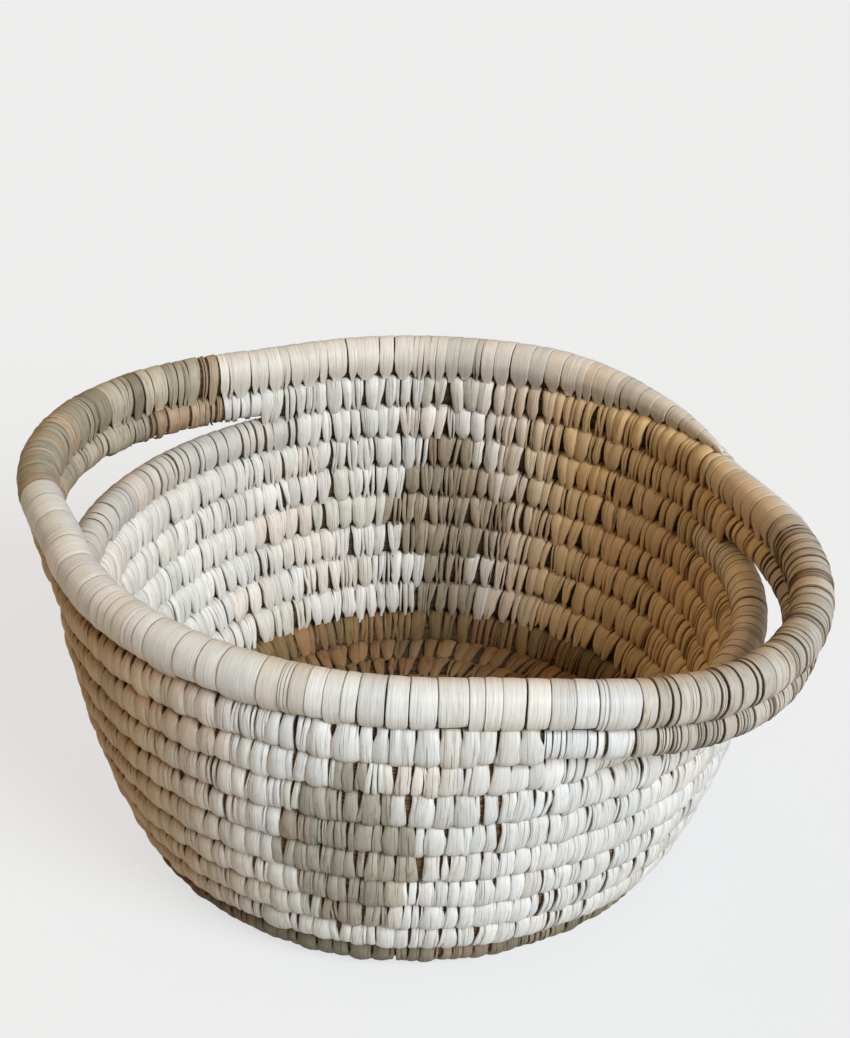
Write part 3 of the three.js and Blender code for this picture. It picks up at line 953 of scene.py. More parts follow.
    def to_object(self, name: str) -> bpy.types.Object:
        """Makes the mesh.

        Args:
            name: Name of the piece.

        Returns:
            The new object.
        """
        rows, columns, count = self.ROWS, len(self.COLUMNS), len(self._points)
        cell = np.arange(rows * columns).reshape(rows, columns)
        quads = np.stack([cell[:-1, :-1], cell[:-1, 1:], cell[1:, 1:], cell[1:, :-1]], -1).reshape(-1, 4)
        faces = (quads[None] + (np.arange(count) * rows * columns)[:, None, None]).reshape(-1, 4)
        points = np.concatenate(self._points).reshape(-1, 3)
        mesh = bpy.data.meshes.new(name)
        mesh.vertices.add(len(points))
        mesh.vertices.foreach_set("co", points.astype(np.float32).ravel())
        mesh.loops.add(faces.size)
        mesh.loops.foreach_set("vertex_index", faces.astype(np.int32).ravel())
        mesh.polygons.add(len(faces))
        mesh.polygons.foreach_set("loop_start", np.arange(0, faces.size, 4, dtype=np.int32))
        mesh.polygons.foreach_set("use_smooth", np.ones(len(faces), dtype=bool))
        mesh.update(calc_edges=True)
        tints = np.concatenate(self._tints).reshape(-1, 3)
        PointValue.COLOUR.write(mesh, "tint", np.concatenate([tints, np.ones((len(tints), 1))], 1))
        PointValue.VECTOR.write(mesh, "leaf", np.concatenate(self._leaf))
        # edge nearness for dirt and painted shade, brown of stain and painted shade, and age
        PointValue.VECTOR.write(mesh, "wear_and_shade", np.concatenate(self._wear_and_shade))
        self._write_uv(mesh, faces, count)
        return place_object(name, mesh)

    def _write_uv(self, mesh: bpy.types.Mesh, faces: np.ndarray, count: int) -> None:
        """Spreads the strips side by side over the baked picture.

        Args:
            mesh: The mesh.
            faces: Points of each face.
            count: Strips in the mesh.
        """
        across = math.ceil(math.sqrt(count * self.UV_LONG))
        down = math.ceil(count / across)
        strip = np.arange(count)[:, None, None]
        steps = np.abs(np.diff(self.COLUMNS)) + np.abs(np.diff(self.SKIRT)) * self.UV_SKIRT
        spread = np.append(0.0, np.cumsum(steps) / steps.sum())
        inset, room = self.UV_MARGIN, 1.0 - 2.0 * self.UV_MARGIN
        u = (strip % across + inset + room * spread) / across
        v = (strip // across + inset + room * self.PLACES[:, None]) / down
        uv = np.stack(np.broadcast_arrays(u, v), -1).reshape(-1, 2)
        layer = mesh.uv_layers.new(name="OFBake")
        layer.data.foreach_set("uv", uv[faces.ravel()].astype(np.float32).ravel())


Socket = bpy.types.NodeSocket
Feeds = dict[int | str, object]


class NodeBuilder:
    """Puts nodes in a tree from left to right and feeds them."""

    COLUMN = 190.0
    MIX_SHARE = 0
    MIX_FIRST = 6
    MIX_SECOND = 7
    MIX_RESULT = 2

    def __init__(self, tree: bpy.types.NodeTree) -> None:
        """Takes up a node tree.

        Args:
            tree: The tree to add to.
        """
        self.tree = tree
        self._count = 0

    def add(self, kind: str, feeds: Feeds | None = None, **settings: object) -> bpy.types.Node:
        """Adds a node.

        Args:
            kind: Node type.
            feeds: What its inputs take, which is a socket, a number or a colour each.
            settings: Properties of the node.

        Returns:
            The node.
        """
        node = self.tree.nodes.new(kind)
        node.location = (self.COLUMN * self._count, 0.0)
        self._count += 1
        for name, value in settings.items():
            setattr(node, name, value)
        for name, value in (feeds or {}).items():
            if isinstance(value, Socket):
                self.tree.links.new(value, node.inputs[name])
            else:
                node.inputs[name].default_value = value
        return node

    def attribute(self, name: str, output: str) -> Socket:
        """Reads a value that a mesh keeps for each point."""
        return self.add("ShaderNodeAttribute", attribute_name=name).outputs[output]

    def math(self, operation: str, first: object, second: object, clamp: bool = False) -> Socket:
        """Works out a sum of two values."""
        feeds = {0: first, 1: second}
        return self.add("ShaderNodeMath", feeds, operation=operation, use_clamp=clamp).outputs[0]

    def noise(self, vector: Socket, factors: tuple[float, ...], detail: float, rough: float) -> Socket:
        """Reads a noise about 0.5.

        Args:
            vector: Where to read it.
            factors: What the vector is stretched by along each axis.
            detail: Number of finer layers.
            rough: Weight of the finer layers.

        Returns:
            The noise.
        """
        stretched = self.add("ShaderNodeVectorMath", {0: vector, 1: factors}, operation="MULTIPLY").outputs[0]
        feeds = {"Vector": stretched, "Scale": 1.0, "Detail": detail, "Roughness": rough}
        return self.add("ShaderNodeTexNoise", feeds).outputs["Fac"]

    def band(self, value: Socket, low: float, high: float, bottom: float = 0.0, top: float = 1.0) -> Socket:
        """Maps values from low to high smoothly to values from bottom to top."""
        feeds = {"Value": value, "From Min": low, "From Max": high, "To Min": bottom, "To Max": top}
        return self.add("ShaderNodeMapRange", feeds, interpolation_type="SMOOTHSTEP").outputs["Result"]

    def mix(self, share: object, first: object, second: object, blend: str = "MIX") -> Socket:
        """Mixes a share of a second colour into a first."""
        feeds = {self.MIX_SHARE: share, self.MIX_FIRST: first, self.MIX_SECOND: second}
        return self.add("ShaderNodeMix", feeds, data_type="RGBA", blend_type=blend).outputs[self.MIX_RESULT]

    def relief(self, height: Socket, strength: float, depth: float) -> Socket:
        """Turns a height into the normals of a relief of a depth in metres."""
        feeds = {"Height": height, "Strength": strength, "Distance": depth}
        return self.add("ShaderNodeBump", feeds).outputs[0]

    def surface(self, feeds: Feeds) -> None:
        """Ends a material with a surface."""
        shader = self.add("ShaderNodeBsdfPrincipled", feeds)
        self.add("ShaderNodeOutputMaterial", {0: shader.outputs[0]})


def emptied(owner: bpy.types.Material | bpy.types.World) -> NodeBuilder:
    """Clears the nodes of a material or a world.

    Args:
        owner: The material or world.

    Returns:
        A builder for its nodes.
    """
    owner.use_nodes = True
    owner.node_tree.nodes.clear()
    return NodeBuilder(owner.node_tree)


def node_colour(colour: tuple[float, float, float]) -> tuple[float, float, float, float]:
    """Gives a display colour as nodes take it, linear and with full alpha."""
    return (*linear(*colour).tolist(), 1.0)


class GrainGroup:
    """Fine lines that run the length of a leaf, as a shared node group.

    Each noise lists its factors across, along and from leaf to leaf, its finer layers and their weight.
    """

    NAME = "leaf_grain"
    FINE = ((5.2, 0.10, 3.1), 3.0, 0.6)
    BROAD = ((1.5, 0.05, 1.7), 2.0, 0.5)
    CRACK = ((2.6, 0.045, 5.3), 1.0, 0.5)
    CRACK_BAND = (0.63, 0.69)
    BLOTCH = ((0.32, 0.16, 2.3), 3.0, 0.55)

    @classmethod
    def get(cls) -> bpy.types.NodeTree:
        """Makes the group once.

        Returns:
            The group, with outputs Fine, Broad, Crack and Blotch.
        """
        if cls.NAME in bpy.data.node_groups:
            return bpy.data.node_groups[cls.NAME]
        tree = bpy.data.node_groups.new(cls.NAME, "ShaderNodeTree")
        tree.interface.new_socket("Leaf", in_out="INPUT", socket_type="NodeSocketVector")
        for name in ("Fine", "Broad", "Crack", "Blotch"):
            tree.interface.new_socket(name, in_out="OUTPUT", socket_type="NodeSocketFloat")
        nodes = NodeBuilder(tree)
        leaf = nodes.add("NodeGroupInput").outputs["Leaf"]
        results = {
            "Fine": nodes.noise(leaf, *cls.FINE),
            "Broad": nodes.noise(leaf, *cls.BROAD),
            "Crack": nodes.band(nodes.noise(leaf, *cls.CRACK), *cls.CRACK_BAND),
            "Blotch": nodes.noise(leaf, *cls.BLOTCH),
        }
        nodes.add("NodeGroupOutput", results)
        return tree


@dataclass(frozen=True)
class LeafFinish:
    """A finish of wrapped leaf: colours as shown, bands as (start, end) or (start, end, first, last)."""

    name: str
    roughness: float
    crack: float
    stain: tuple[float, float, float]
    stain_share: float
    edge: float
    relief: float
    polish: float = 0.08
    specular: float = 0.35
    depth: float = 0.25 * MM
    crack_depth: float = 1.2
    fine: tuple[float, float, float, float] = (0.3, 0.7, 0.88, 1.07)
    broad: tuple[float, float, float, float] = (0.3, 0.7, -0.06, 0.06)
    age: tuple[float, float, float, float] = (0.0, 1.0, 0.4, 1.0)
    gloss_band: tuple[float, float] = (0.25, 0.75)
    stain_band: tuple[float, float] = (0.52, 0.72)
    edge_band: tuple[float, float] = (0.5, 1.2)
    # colour and share of the brown at crests and grooves, partly stain and partly painted shade
    groove_share: float = 0.85
    groove: tuple[float, float, float] = (0.82, 0.66, 0.47)
    # colour of edge darkening, partly dirt and partly painted shade
    dirt_and_shade: tuple[float, float, float] = (0.36, 0.26, 0.17)
    dark: tuple[float, float, float] = (0.30, 0.21, 0.13)

    def material(self) -> bpy.types.Material:
        """Makes the finish once.

        Returns:
            The material.
        """
        if self.name in bpy.data.materials:
            return bpy.data.materials[self.name]
        material = bpy.data.materials.new(self.name)
        nodes = emptied(material)
        grain = nodes.add("ShaderNodeGroup", node_tree=GrainGroup.get())
        nodes.tree.links.new(nodes.attribute("leaf", "Vector"), grain.inputs["Leaf"])
        fine = grain.outputs["Fine"]
        gloss = (self.roughness + self.polish, self.roughness - self.polish)
        sunk = nodes.math("MULTIPLY", grain.outputs["Crack"], -self.crack_depth)
        surface = {
            "Base Color": self._colour(nodes, grain.outputs),
            "Roughness": nodes.band(fine, *self.gloss_band, *gloss),
            "Specular IOR Level": self.specular,
            "Normal": nodes.relief(nodes.math("ADD", fine, sunk), self.relief, self.depth),
        }
        nodes.surface(surface)
        return material

    def _colour(self, nodes: NodeBuilder, grain: bpy.types.NodeOutputs) -> Socket:
        """Streaks, stains and cracks the leaf's colour, which holds painted shade, and darkens its edges,
        crests and grooves with dirt, stain and painted shade.

        Args:
            nodes: Builder for the material's nodes.
            grain: Outputs of the grain group.

        Returns:
            The colour.
        """
        edge, groove, age = nodes.add("ShaderNodeSeparateXYZ", {0: nodes.attribute("wear_and_shade", "Vector")}).outputs
        fine, broad = nodes.band(grain["Fine"], *self.fine), nodes.band(grain["Broad"], *self.broad)
        streaks = nodes.math("ADD", fine, broad)
        grey = nodes.add("ShaderNodeCombineColor", {0: streaks, 1: streaks, 2: streaks}).outputs[0]
        colour = nodes.mix(1.0, nodes.attribute("tint", "Color"), grey, "MULTIPLY")
        stained = nodes.band(grain["Blotch"], *self.stain_band, 0.0, self.stain_share)
        colour = nodes.mix(stained, colour, node_colour(self.stain), "MULTIPLY")
        # brown at crests and grooves: partly stain, partly painted shade
        brown = nodes.math("MULTIPLY", groove, self.groove_share)
        colour = nodes.mix(brown, colour, node_colour(self.groove), "MULTIPLY")
        # edge darkening: partly dirt, partly painted shade in the gaps between strips
        near_edge = nodes.band(edge, *self.edge_band, 0.0, self.edge)
        dirt_and_shade = nodes.math("MULTIPLY", near_edge, nodes.band(age, *self.age))
        colour = nodes.mix(dirt_and_shade, colour, node_colour(self.dirt_and_shade))
        return nodes.mix(nodes.math("MULTIPLY", grain["Crack"], self.crack), colour, node_colour(self.dark))


class Slot(Enum):
    """The record's material slots with the finish that each one takes.

    A finish lists its name, roughness, cracks, stain and the stain's share, edge darkening of dirt and
    painted shade, and relief.
    """

    CREAM = ("cream_leaf", LeafFinish("cream_leaf_finish", 0.52, 0.55, (0.90, 0.82, 0.72), 0.35, 0.6, 0.5))
    PALE = ("pale_leaf", LeafFinish("pale_leaf_finish", 0.46, 0.30, (0.93, 0.87, 0.79), 0.3, 0.5, 0.4))
    OLIVE = ("olive_leaf", LeafFinish("olive_leaf_finish", 0.50, 0.60, (0.80, 0.70, 0.58), 0.5, 0.95, 0.55))
    MOTIF = ("motif_leaf", LeafFinish("motif_leaf_finish", 0.56, 0.75, (0.78, 0.70, 0.58), 0.5, 0.65, 0.6))
    DARK = ("dark_leaf", LeafFinish("dark_leaf_finish", 0.58, 0.70, (0.78, 0.66, 0.52), 0.5, 0.65, 0.6))
    TAN = ("tan_leaf", LeafFinish("tan_leaf_finish", 0.56, 0.65, (0.84, 0.68, 0.50), 0.6, 0.65, 0.6))

    @property
    def slot(self) -> str:
        """The slot's name in the record."""
        return self.value[0]

    @property
    def finish(self) -> LeafFinish:
        """The finish."""
        return self.value[1]


@dataclass(frozen=True)
class Stretch:
    """A length of coil that is wrapped in one way."""

    low: float
    high: float
    style: StripStyle
    palette: Palette


class WrapRun:
    """A run of leaf strip round the coil between two turns, which stands for one node of the frame."""

    SHORTEST = 1 * MM
    WIDTHS = (0.5, 1.6)
    LEAST_WIDTH = 0.5
    EVEN_SLATS = 6.0
    LEAST_SLAT = 0.5 * MM
    SLAT_SHADES = 0.03
    FORKED = 0.65
    FORK = 0.5

    def __init__(self, path: CoilPath, node: str, whole: Stretch, slot: Slot) -> None:
        """Plans the run.

        Args:
            path: The coil.
            node: The frame's node that the run stands for.
            whole: Its whole length and how that is wrapped.
            slot: Finish.
        """
        self.path = path
        self.node = node
        self.stretches = [whole]
        self.slot = slot
        self.marks: list[tuple[float, float, Palette]] = []
        self.piece: bpy.types.Object | None = None

    def rewrap(self, high: float, low: float, style: Style, palette: Palette) -> None:
        """Wraps a part of the run in another way.

        Args:
            high: Turn where the part ends.
            low: Turn where it starts.
            style: How its strips lie.
            palette: Leaves it is wrapped in.
        """
        start, end = self.path.arc_at(low), self.path.arc_at(high)
        kept = []
        for whole in self.stretches:
            first, last = max(start, whole.low), min(end, whole.high)
            if first >= last:
                kept.append(whole)
                continue
            part = Stretch(first, last, style.value, palette)
            kept += [replace(whole, high=first), part, replace(whole, low=last)]
        self.stretches = [part for part in kept if part.high - part.low > self.SHORTEST]

    def mark(self, turn: float, width: float, palette: Palette) -> None:
        """Wraps a short stretch about a turn, its width in metres, in other leaves."""
        self.marks.append((self.path.arc_at(turn), width / 2, palette))

    def build(self) -> bpy.types.Object:
        """Lays the strips.

        Returns:
            The piece.
        """
        rng = np.random.default_rng([SEED, *self.node.encode()])
        mesh = StripMesh(self.path)
        for stretch in self.stretches:
            self._lay_stretch(mesh, stretch, rng)
        self.piece = mesh.to_object(f"{self.node}_leaf")
        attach(self.piece, "root")
        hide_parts(self.node)
        return self.piece

    def _lay_stretch(self, mesh: StripMesh, stretch: Stretch, rng: np.random.Generator) -> None:
        """Lays the stitches of a stretch.

        Args:
            mesh: Where the strips are collected.
            stretch: The stretch.
            rng: Source of chance.
        """
        style, length = stretch.style, stretch.high - stretch.low
        supply = LeafSupply(stretch.palette, style, rng)
        others = {palette: LeafSupply(palette, style, rng) for _, _, palette in self.marks}
        widths = np.clip(rng.normal(1.0, style.spread, max(round(length / style.pitch), 1)), *self.WIDTHS)
        widths = widths / widths.sum() * length
        for arc, width in zip(stretch.low + np.cumsum(widths) - widths / 2, widths):
            tint = supply.take()
            for middle, half, palette in self.marks:
                if abs(arc - middle) < half:
                    tint = others[palette].take()
            spare = style.overlap - rng.exponential(style.gap)
            self._lay_stitch(mesh, style, arc, max(width + spare, width * self.LEAST_WIDTH), tint, rng)

    def _lay_stitch(
        self,
        mesh: StripMesh,
        style: StripStyle,
        arc: float,
        width: float,
        tint: np.ndarray,
        rng: np.random.Generator,
    ) -> None:
        """Lays one stitch, which may be split into slats.

        Args:
            mesh: Where the strips are collected.
            style: How its strips lie.
            arc: Length of coil at its middle.
            width: Its width.
            tint: Its linear colour.
            rng: Source of chance.
        """
        slats, shares, gap, fork = 1, np.array([1.0]), 0.0, 0.0
        if rng.random() < style.split:
            slats = int(rng.integers(2, style.most_slats + 1))
            shares, gap = rng.dirichlet(np.full(slats, self.EVEN_SLATS)), style.slat_gap
        if slats > 1 and style.loop is LoopKind.WALL and rng.random() < self.FORKED:
            fork = self.FORK
        for start, share in zip(np.cumsum(shares) - shares, shares):
            shift = (start + share / 2 - 0.5) * width
            half = max(share * width - gap, self.LEAST_SLAT) / 2
            shade = 1.0 + rng.normal(0.0, self.SLAT_SHADES)
            mesh.add(Strip(style, arc, half, shift, tint * shade, shift * fork), rng)

    def dress(self) -> None:
        """Gives the piece its finish."""
        self.piece.data.materials.append(self.slot.finish.material())
        log.info("%s: %d faces", self.piece.name, len(self.piece.data.polygons))


@dataclass(frozen=True)
class BundleSizes:
    """Sizes of the bundle that shows between the strips, in radii of the coil."""

    across: float = 0.88
    above: float = 0.95
    nip: float = 0.14
    most_below: float = 1.55
    below_in_handles: float = 0.92
    knot: float = 1.9
    knot_turns: float = 0.3
    nose: float = 6.0 * MM
    sides: int = 20
    steps: int = 120


class Bundle:
    """The dark fibre bundle inside the wrap, one unbroken coil. Its noises are listed as for the leaf."""

    SLOT = "bundle"
    NOSE_PLACES = (0.97, 0.8, 0.5)
    LOWEST = 0.6 * MM
    LIFT_FADE = (0.0, 0.06)
    OUTSIDE_FADE = (-0.3, 0.45)
    FIBRE_RADIUS = 6.5
    FINE = ((0.09, 2.4, 2.4), 3.0, 0.6)
    TUFT = ((0.05, 0.6, 0.6), 2.0, 0.5)
    STREAK_BAND = (0.35, 0.68, 0.0, 0.8)
    TUFT_BAND = (0.4, 0.7, -0.15, 0.2)
    INNER = ((0.13, 0.105, 0.065), (0.42, 0.32, 0.20))
    OUTER = ((0.26, 0.18, 0.11), (0.66, 0.52, 0.37))
    ROUGHNESS = 0.85
    RELIEF = 0.8
    DEPTH = 0.5 * MM

    def __init__(self, path: CoilPath, sizes: BundleSizes = BundleSizes()) -> None:
        """Plans the bundle.

        Args:
            path: The coil.
            sizes: Its sizes.
        """
        self.path, self.sizes = path, sizes
        self.piece: bpy.types.Object | None = None

    def build(self) -> bpy.types.Object:
        """Winds the bundle.

        Returns:
            The piece.
        """
        s, own = self.path.sizes, self.sizes
        count = round((s.total_turns - s.start_turn) * own.steps)
        turns = np.linspace(s.start_turn, s.total_turns, count + 1)
        angle = np.linspace(0.0, 2 * math.pi, own.sides, endpoint=False)
        mesh = self._skin(self._rings(turns, angle))
        turns = np.append(np.full(len(self.NOSE_PLACES), turns[0]), turns)
        fibre = np.empty((len(turns), own.sides, 3))
        fibre[..., 0] = (self._arcs(turns) / MM)[:, None]
        fibre[..., 1] = np.cos(angle) * self.FIBRE_RADIUS
        fibre[..., 2] = np.sin(angle) * self.FIBRE_RADIUS
        PointValue.VECTOR.write(mesh, "fibre", fibre)
        in_wall = (turns < s.total_turns - s.handle_turns)[:, None]
        PointValue.NUMBER.write(mesh, "outside", smooth(np.cos(angle), *self.OUTSIDE_FADE) * in_wall)
        self.piece = place_object("bundle_coil", mesh)
        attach(self.piece, "root")
        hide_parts("foundation_coil")
        return self.piece

    def _arcs(self, turns: np.ndarray) -> np.ndarray:
        """Gives the length of coil up to each turn."""
        return np.interp(turns, self.path.turns, self.path.arcs)

    def _rings(self, turns: np.ndarray, angle: np.ndarray) -> np.ndarray:
        """Draws the bundle's section at each turn, with a rounded nose before the first.

        Args:
            turns: Turns from the middle of the floor.
            angle: Angles round the section.

        Returns:
            Rings of points.
        """
        own = self.sizes
        centre, across, along, radius = self.path.sections(self._arcs(turns))
        knot = 1.0 - smooth(turns - self.path.sizes.start_turn, 0.0, own.knot_turns)
        radius = radius * (1.0 + (own.knot - 1.0) * knot)
        heading = np.cross(across, along)
        seat, apart, seat_radius = self._seat(turns, centre)
        seated = (turns > self.path.sizes.start_turn + 1.0)[:, None]
        down = np.where(seated, seat - heading * np.sum(seat * heading, 1)[:, None], -along)
        down = down / np.linalg.norm(down, axis=1)[:, None]
        side = np.cross(heading, down)
        below = np.clip((apart - own.above * seat_radius) / radius + own.nip, own.above, own.most_below)
        below = below + (own.below_in_handles - below) * self._lifted(turns)
        reach = np.where(np.sin(angle) > 0.0, own.above, below[:, None])
        wide = radius[:, None] * own.across * np.cos(angle)
        high = radius[:, None] * reach * np.sin(angle)
        rings = centre[:, None] + wide[..., None] * side[:, None] - high[..., None] * down[:, None]
        out = np.array(self.NOSE_PLACES)[:, None, None]
        nose = centre[0] + (rings[:1] - centre[0]) * np.sqrt(1.0 - out**2) - heading[0] * own.nose * out
        rings = np.concatenate([nose, rings])
        rings[..., 2] = np.maximum(rings[..., 2], self.LOWEST)
        return rings

    def _seat(self, turns: np.ndarray, centre: np.ndarray) -> tuple[np.ndarray, np.ndarray, np.ndarray]:
        """Finds the row below.

        Args:
            turns: Turns from the middle of the floor.
            centre: Middles of the coil there.

        Returns:
            The way to the row below, how far off it is and its radius.
        """
        seat, _, _, radius = self.path.sections(self._arcs(turns - 1.0))
        return seat - centre, np.linalg.norm(seat - centre, axis=1), radius

    def _lifted(self, turns: np.ndarray) -> np.ndarray:
        """Tells where the second row is free of the wall.

        Args:
            turns: Turns from the middle of the floor.

        Returns:
            1 in the handles and 0 elsewhere.
        """
        path, last = self.path, self.path.sizes.total_turns
        bowed = sum(path.handle_share(handle, path.angle(turns)) for handle in path.handles)
        second_row = (turns > last - path.sizes.handle_turns) * (turns < last - 1.0)
        return smooth(bowed, *self.LIFT_FADE) * second_row

    @staticmethod
    def _skin(rings: np.ndarray) -> bpy.types.Mesh:
        """Makes a closed mesh over rings of points.

        Args:
            rings: The rings.

        Returns:
            The mesh.
        """
        cell = np.arange(rings.shape[0] * rings.shape[1]).reshape(rings.shape[:2])
        over = np.roll(cell, -1, axis=1)
        faces = np.stack([cell[:-1], over[:-1], over[1:], cell[1:]], -1).reshape(-1, 4).tolist()
        faces += [cell[0][::-1].tolist(), cell[-1].tolist()]
        mesh = bpy.data.meshes.new("bundle_coil")
        mesh.from_pydata(rings.reshape(-1, 3).tolist(), [], faces)
        mesh.polygons.foreach_set("use_smooth", np.ones(len(faces), dtype=bool))
        return mesh

    def dress(self) -> None:
        """Gives the bundle its fibres."""
        material = bpy.data.materials.new("bundle_fibre_finish")
        nodes = emptied(material)
        fibre = nodes.attribute("fibre", "Vector")
        fine = nodes.noise(fibre, *self.FINE)
        streaks = nodes.band(fine, *self.STREAK_BAND)
        tufts = nodes.band(nodes.noise(fibre, *self.TUFT), *self.TUFT_BAND)
        share = nodes.math("ADD", streaks, tufts, True)
        inner, outer = (nodes.mix(share, *map(node_colour, pair)) for pair in (self.INNER, self.OUTER))
        surface = {
            "Base Color": nodes.mix(nodes.attribute("outside", "Fac"), inner, outer),
            "Roughness": self.ROUGHNESS,
            "Normal": nodes.relief(fine, self.RELIEF, self.DEPTH),
        }
        nodes.surface(surface)
        self.piece.data.materials.append(material)
        log.info("%s: %d faces", self.piece.name, len(self.piece.data.polygons))


class SubAssembly:
    """A named group of wrap runs."""

    def __init__(self, path: CoilPath) -> None:
        """Plans the runs.

        Args:
            path: The coil.
        """
        self.path = path
        self.runs: list[WrapRun] = []
        self.plan()

    def plan(self) -> None:
        """Lists the runs. Each sub-assembly has its own."""
        raise NotImplementedError

    def run(self, node: str, high: float, low: float, style: Style, palette: Palette, slot: Slot) -> WrapRun:
        """Adds a run.

        Args:
            node: The frame's node that it stands for.
            high: Turn where it ends.
            low: Turn where it starts.
            style: How its strips lie.
            palette: Leaves it is wrapped in.
            slot: Finish.

        Returns:
            The run.
        """
        whole = Stretch(self.path.arc_at(low), self.path.arc_at(high), style.value, palette)
        self.runs.append(WrapRun(self.path, node, whole, slot))
        return self.runs[-1]

    def build(self) -> None:
        """Lays every run."""
        for run in self.runs:
            run.build()

    def dress(self) -> None:
        """Finishes every run."""
        for run in self.runs:
            run.dress()


@dataclass(frozen=True)
class Spread:
    """A stretch of angles, in degrees."""

    start: float
    end: float


LEFT_OLIVE = Spread(148.0, 200.0)
RIGHT_OLIVE = Spread(321.0, 379.0)
LEFT_LIFTED = Spread(141.0, 208.0)
RIGHT_LIFTED = Spread(309.0, 391.0)
LEFT_HANDLE = HandleSizes(175.5, 40.4, 20.6 * MM, 0.0)
RIGHT_HANDLE = HandleSizes(-12.7, 50.3, 22.8 * MM, 6.5 * MM)


class RimAndHandles(SubAssembly):
    """The rim and the row under it, which lift off the wall as the handles."""

    FAWN_ANGLE = 154.0
    FAWN_WIDTH = 42 * MM
    NARROW_FRONT = 268.0

    def plan(self) -> None:
        """Lists the runs of both rows."""
        _, front, _ = self._row(1, "rim_wrap", "upper", (Style.BACK_RIM, Style.RIM, Style.TIP), Slot.PALE)
        narrow = (self.path.turn_at(1, angle) for angle in (self.NARROW_FRONT, RIGHT_OLIVE.start))
        front.rewrap(*narrow, Style.FRONT_RIM, Palette.PALE)
        runs = self._row(2, "second_row_wrap", "lower", (Style.WALL,) * 3, Slot.CREAM)
        for lifted in (LEFT_LIFTED, RIGHT_LIFTED):
            high, low = (self.path.turn_at(2, angle) for angle in (lifted.start, lifted.end))
            for run in runs:
                run.rewrap(high, low, Style.FLANK, Palette.CREAM)

    def _row(self, row: int, name: str, grip: str, styles: tuple[Style, ...], slot: Slot) -> list[WrapRun]:
        """Lists the runs of one row.

        Args:
            row: Row counted down from the rim.
            name: What its runs between the handles are called.
            grip: What its runs in the handles are called.
            styles: How the strips lie at the back, at the front and at the right.
            slot: Finish between the handles.

        Returns:
            The runs between the handles.
        """
        tip = self.path.sizes.end_angle
        angles = (tip, LEFT_OLIVE.start, LEFT_OLIVE.end, RIGHT_OLIVE.start, RIGHT_OLIVE.end, tip + 360.0)
        places = [self.path.turn_at(row, angle) for angle in angles]
        palette, held = (Palette.PALE, Style.GRIP) if row == 1 else (Palette.CREAM, Style.UNDER_GRIP)
        runs = [self.run(f"{name}_back", places[0], places[1], styles[0], palette, slot)]
        left = self.run(f"left_handle_{grip}_wrap", places[1], places[2], held, Palette.OLIVE, Slot.OLIVE)
        if row == 2:
            left.mark(self.path.turn_at(row, self.FAWN_ANGLE), self.FAWN_WIDTH, Palette.FAWN)
        runs.append(self.run(f"{name}_front", places[2], places[3], styles[1], palette, slot))
        self.run(f"right_handle_{grip}_wrap", places[3], places[4], held, Palette.GREY, Slot.OLIVE)
        runs.append(self.run(f"{name}_right", places[4], places[5], styles[2], palette, slot))
        return runs


@dataclass(frozen=True)
class MotifSizes:
    """The stepped diamonds of the wall: widths in metres, one row each, downward."""

    top_row: int = 4
    front_angle: float = 280.6
    front: tuple[float, ...] = (33 * MM, 49 * MM, 55 * MM, 39 * MM, 25 * MM)
    front_tip: float = 13 * MM
    front_tip_angle: float = 282.4
    back_angle: float = 102.8
    back: tuple[float, ...] = (23 * MM, 45 * MM, 63 * MM, 46 * MM, 21 * MM)
    foot: float = 32 * MM


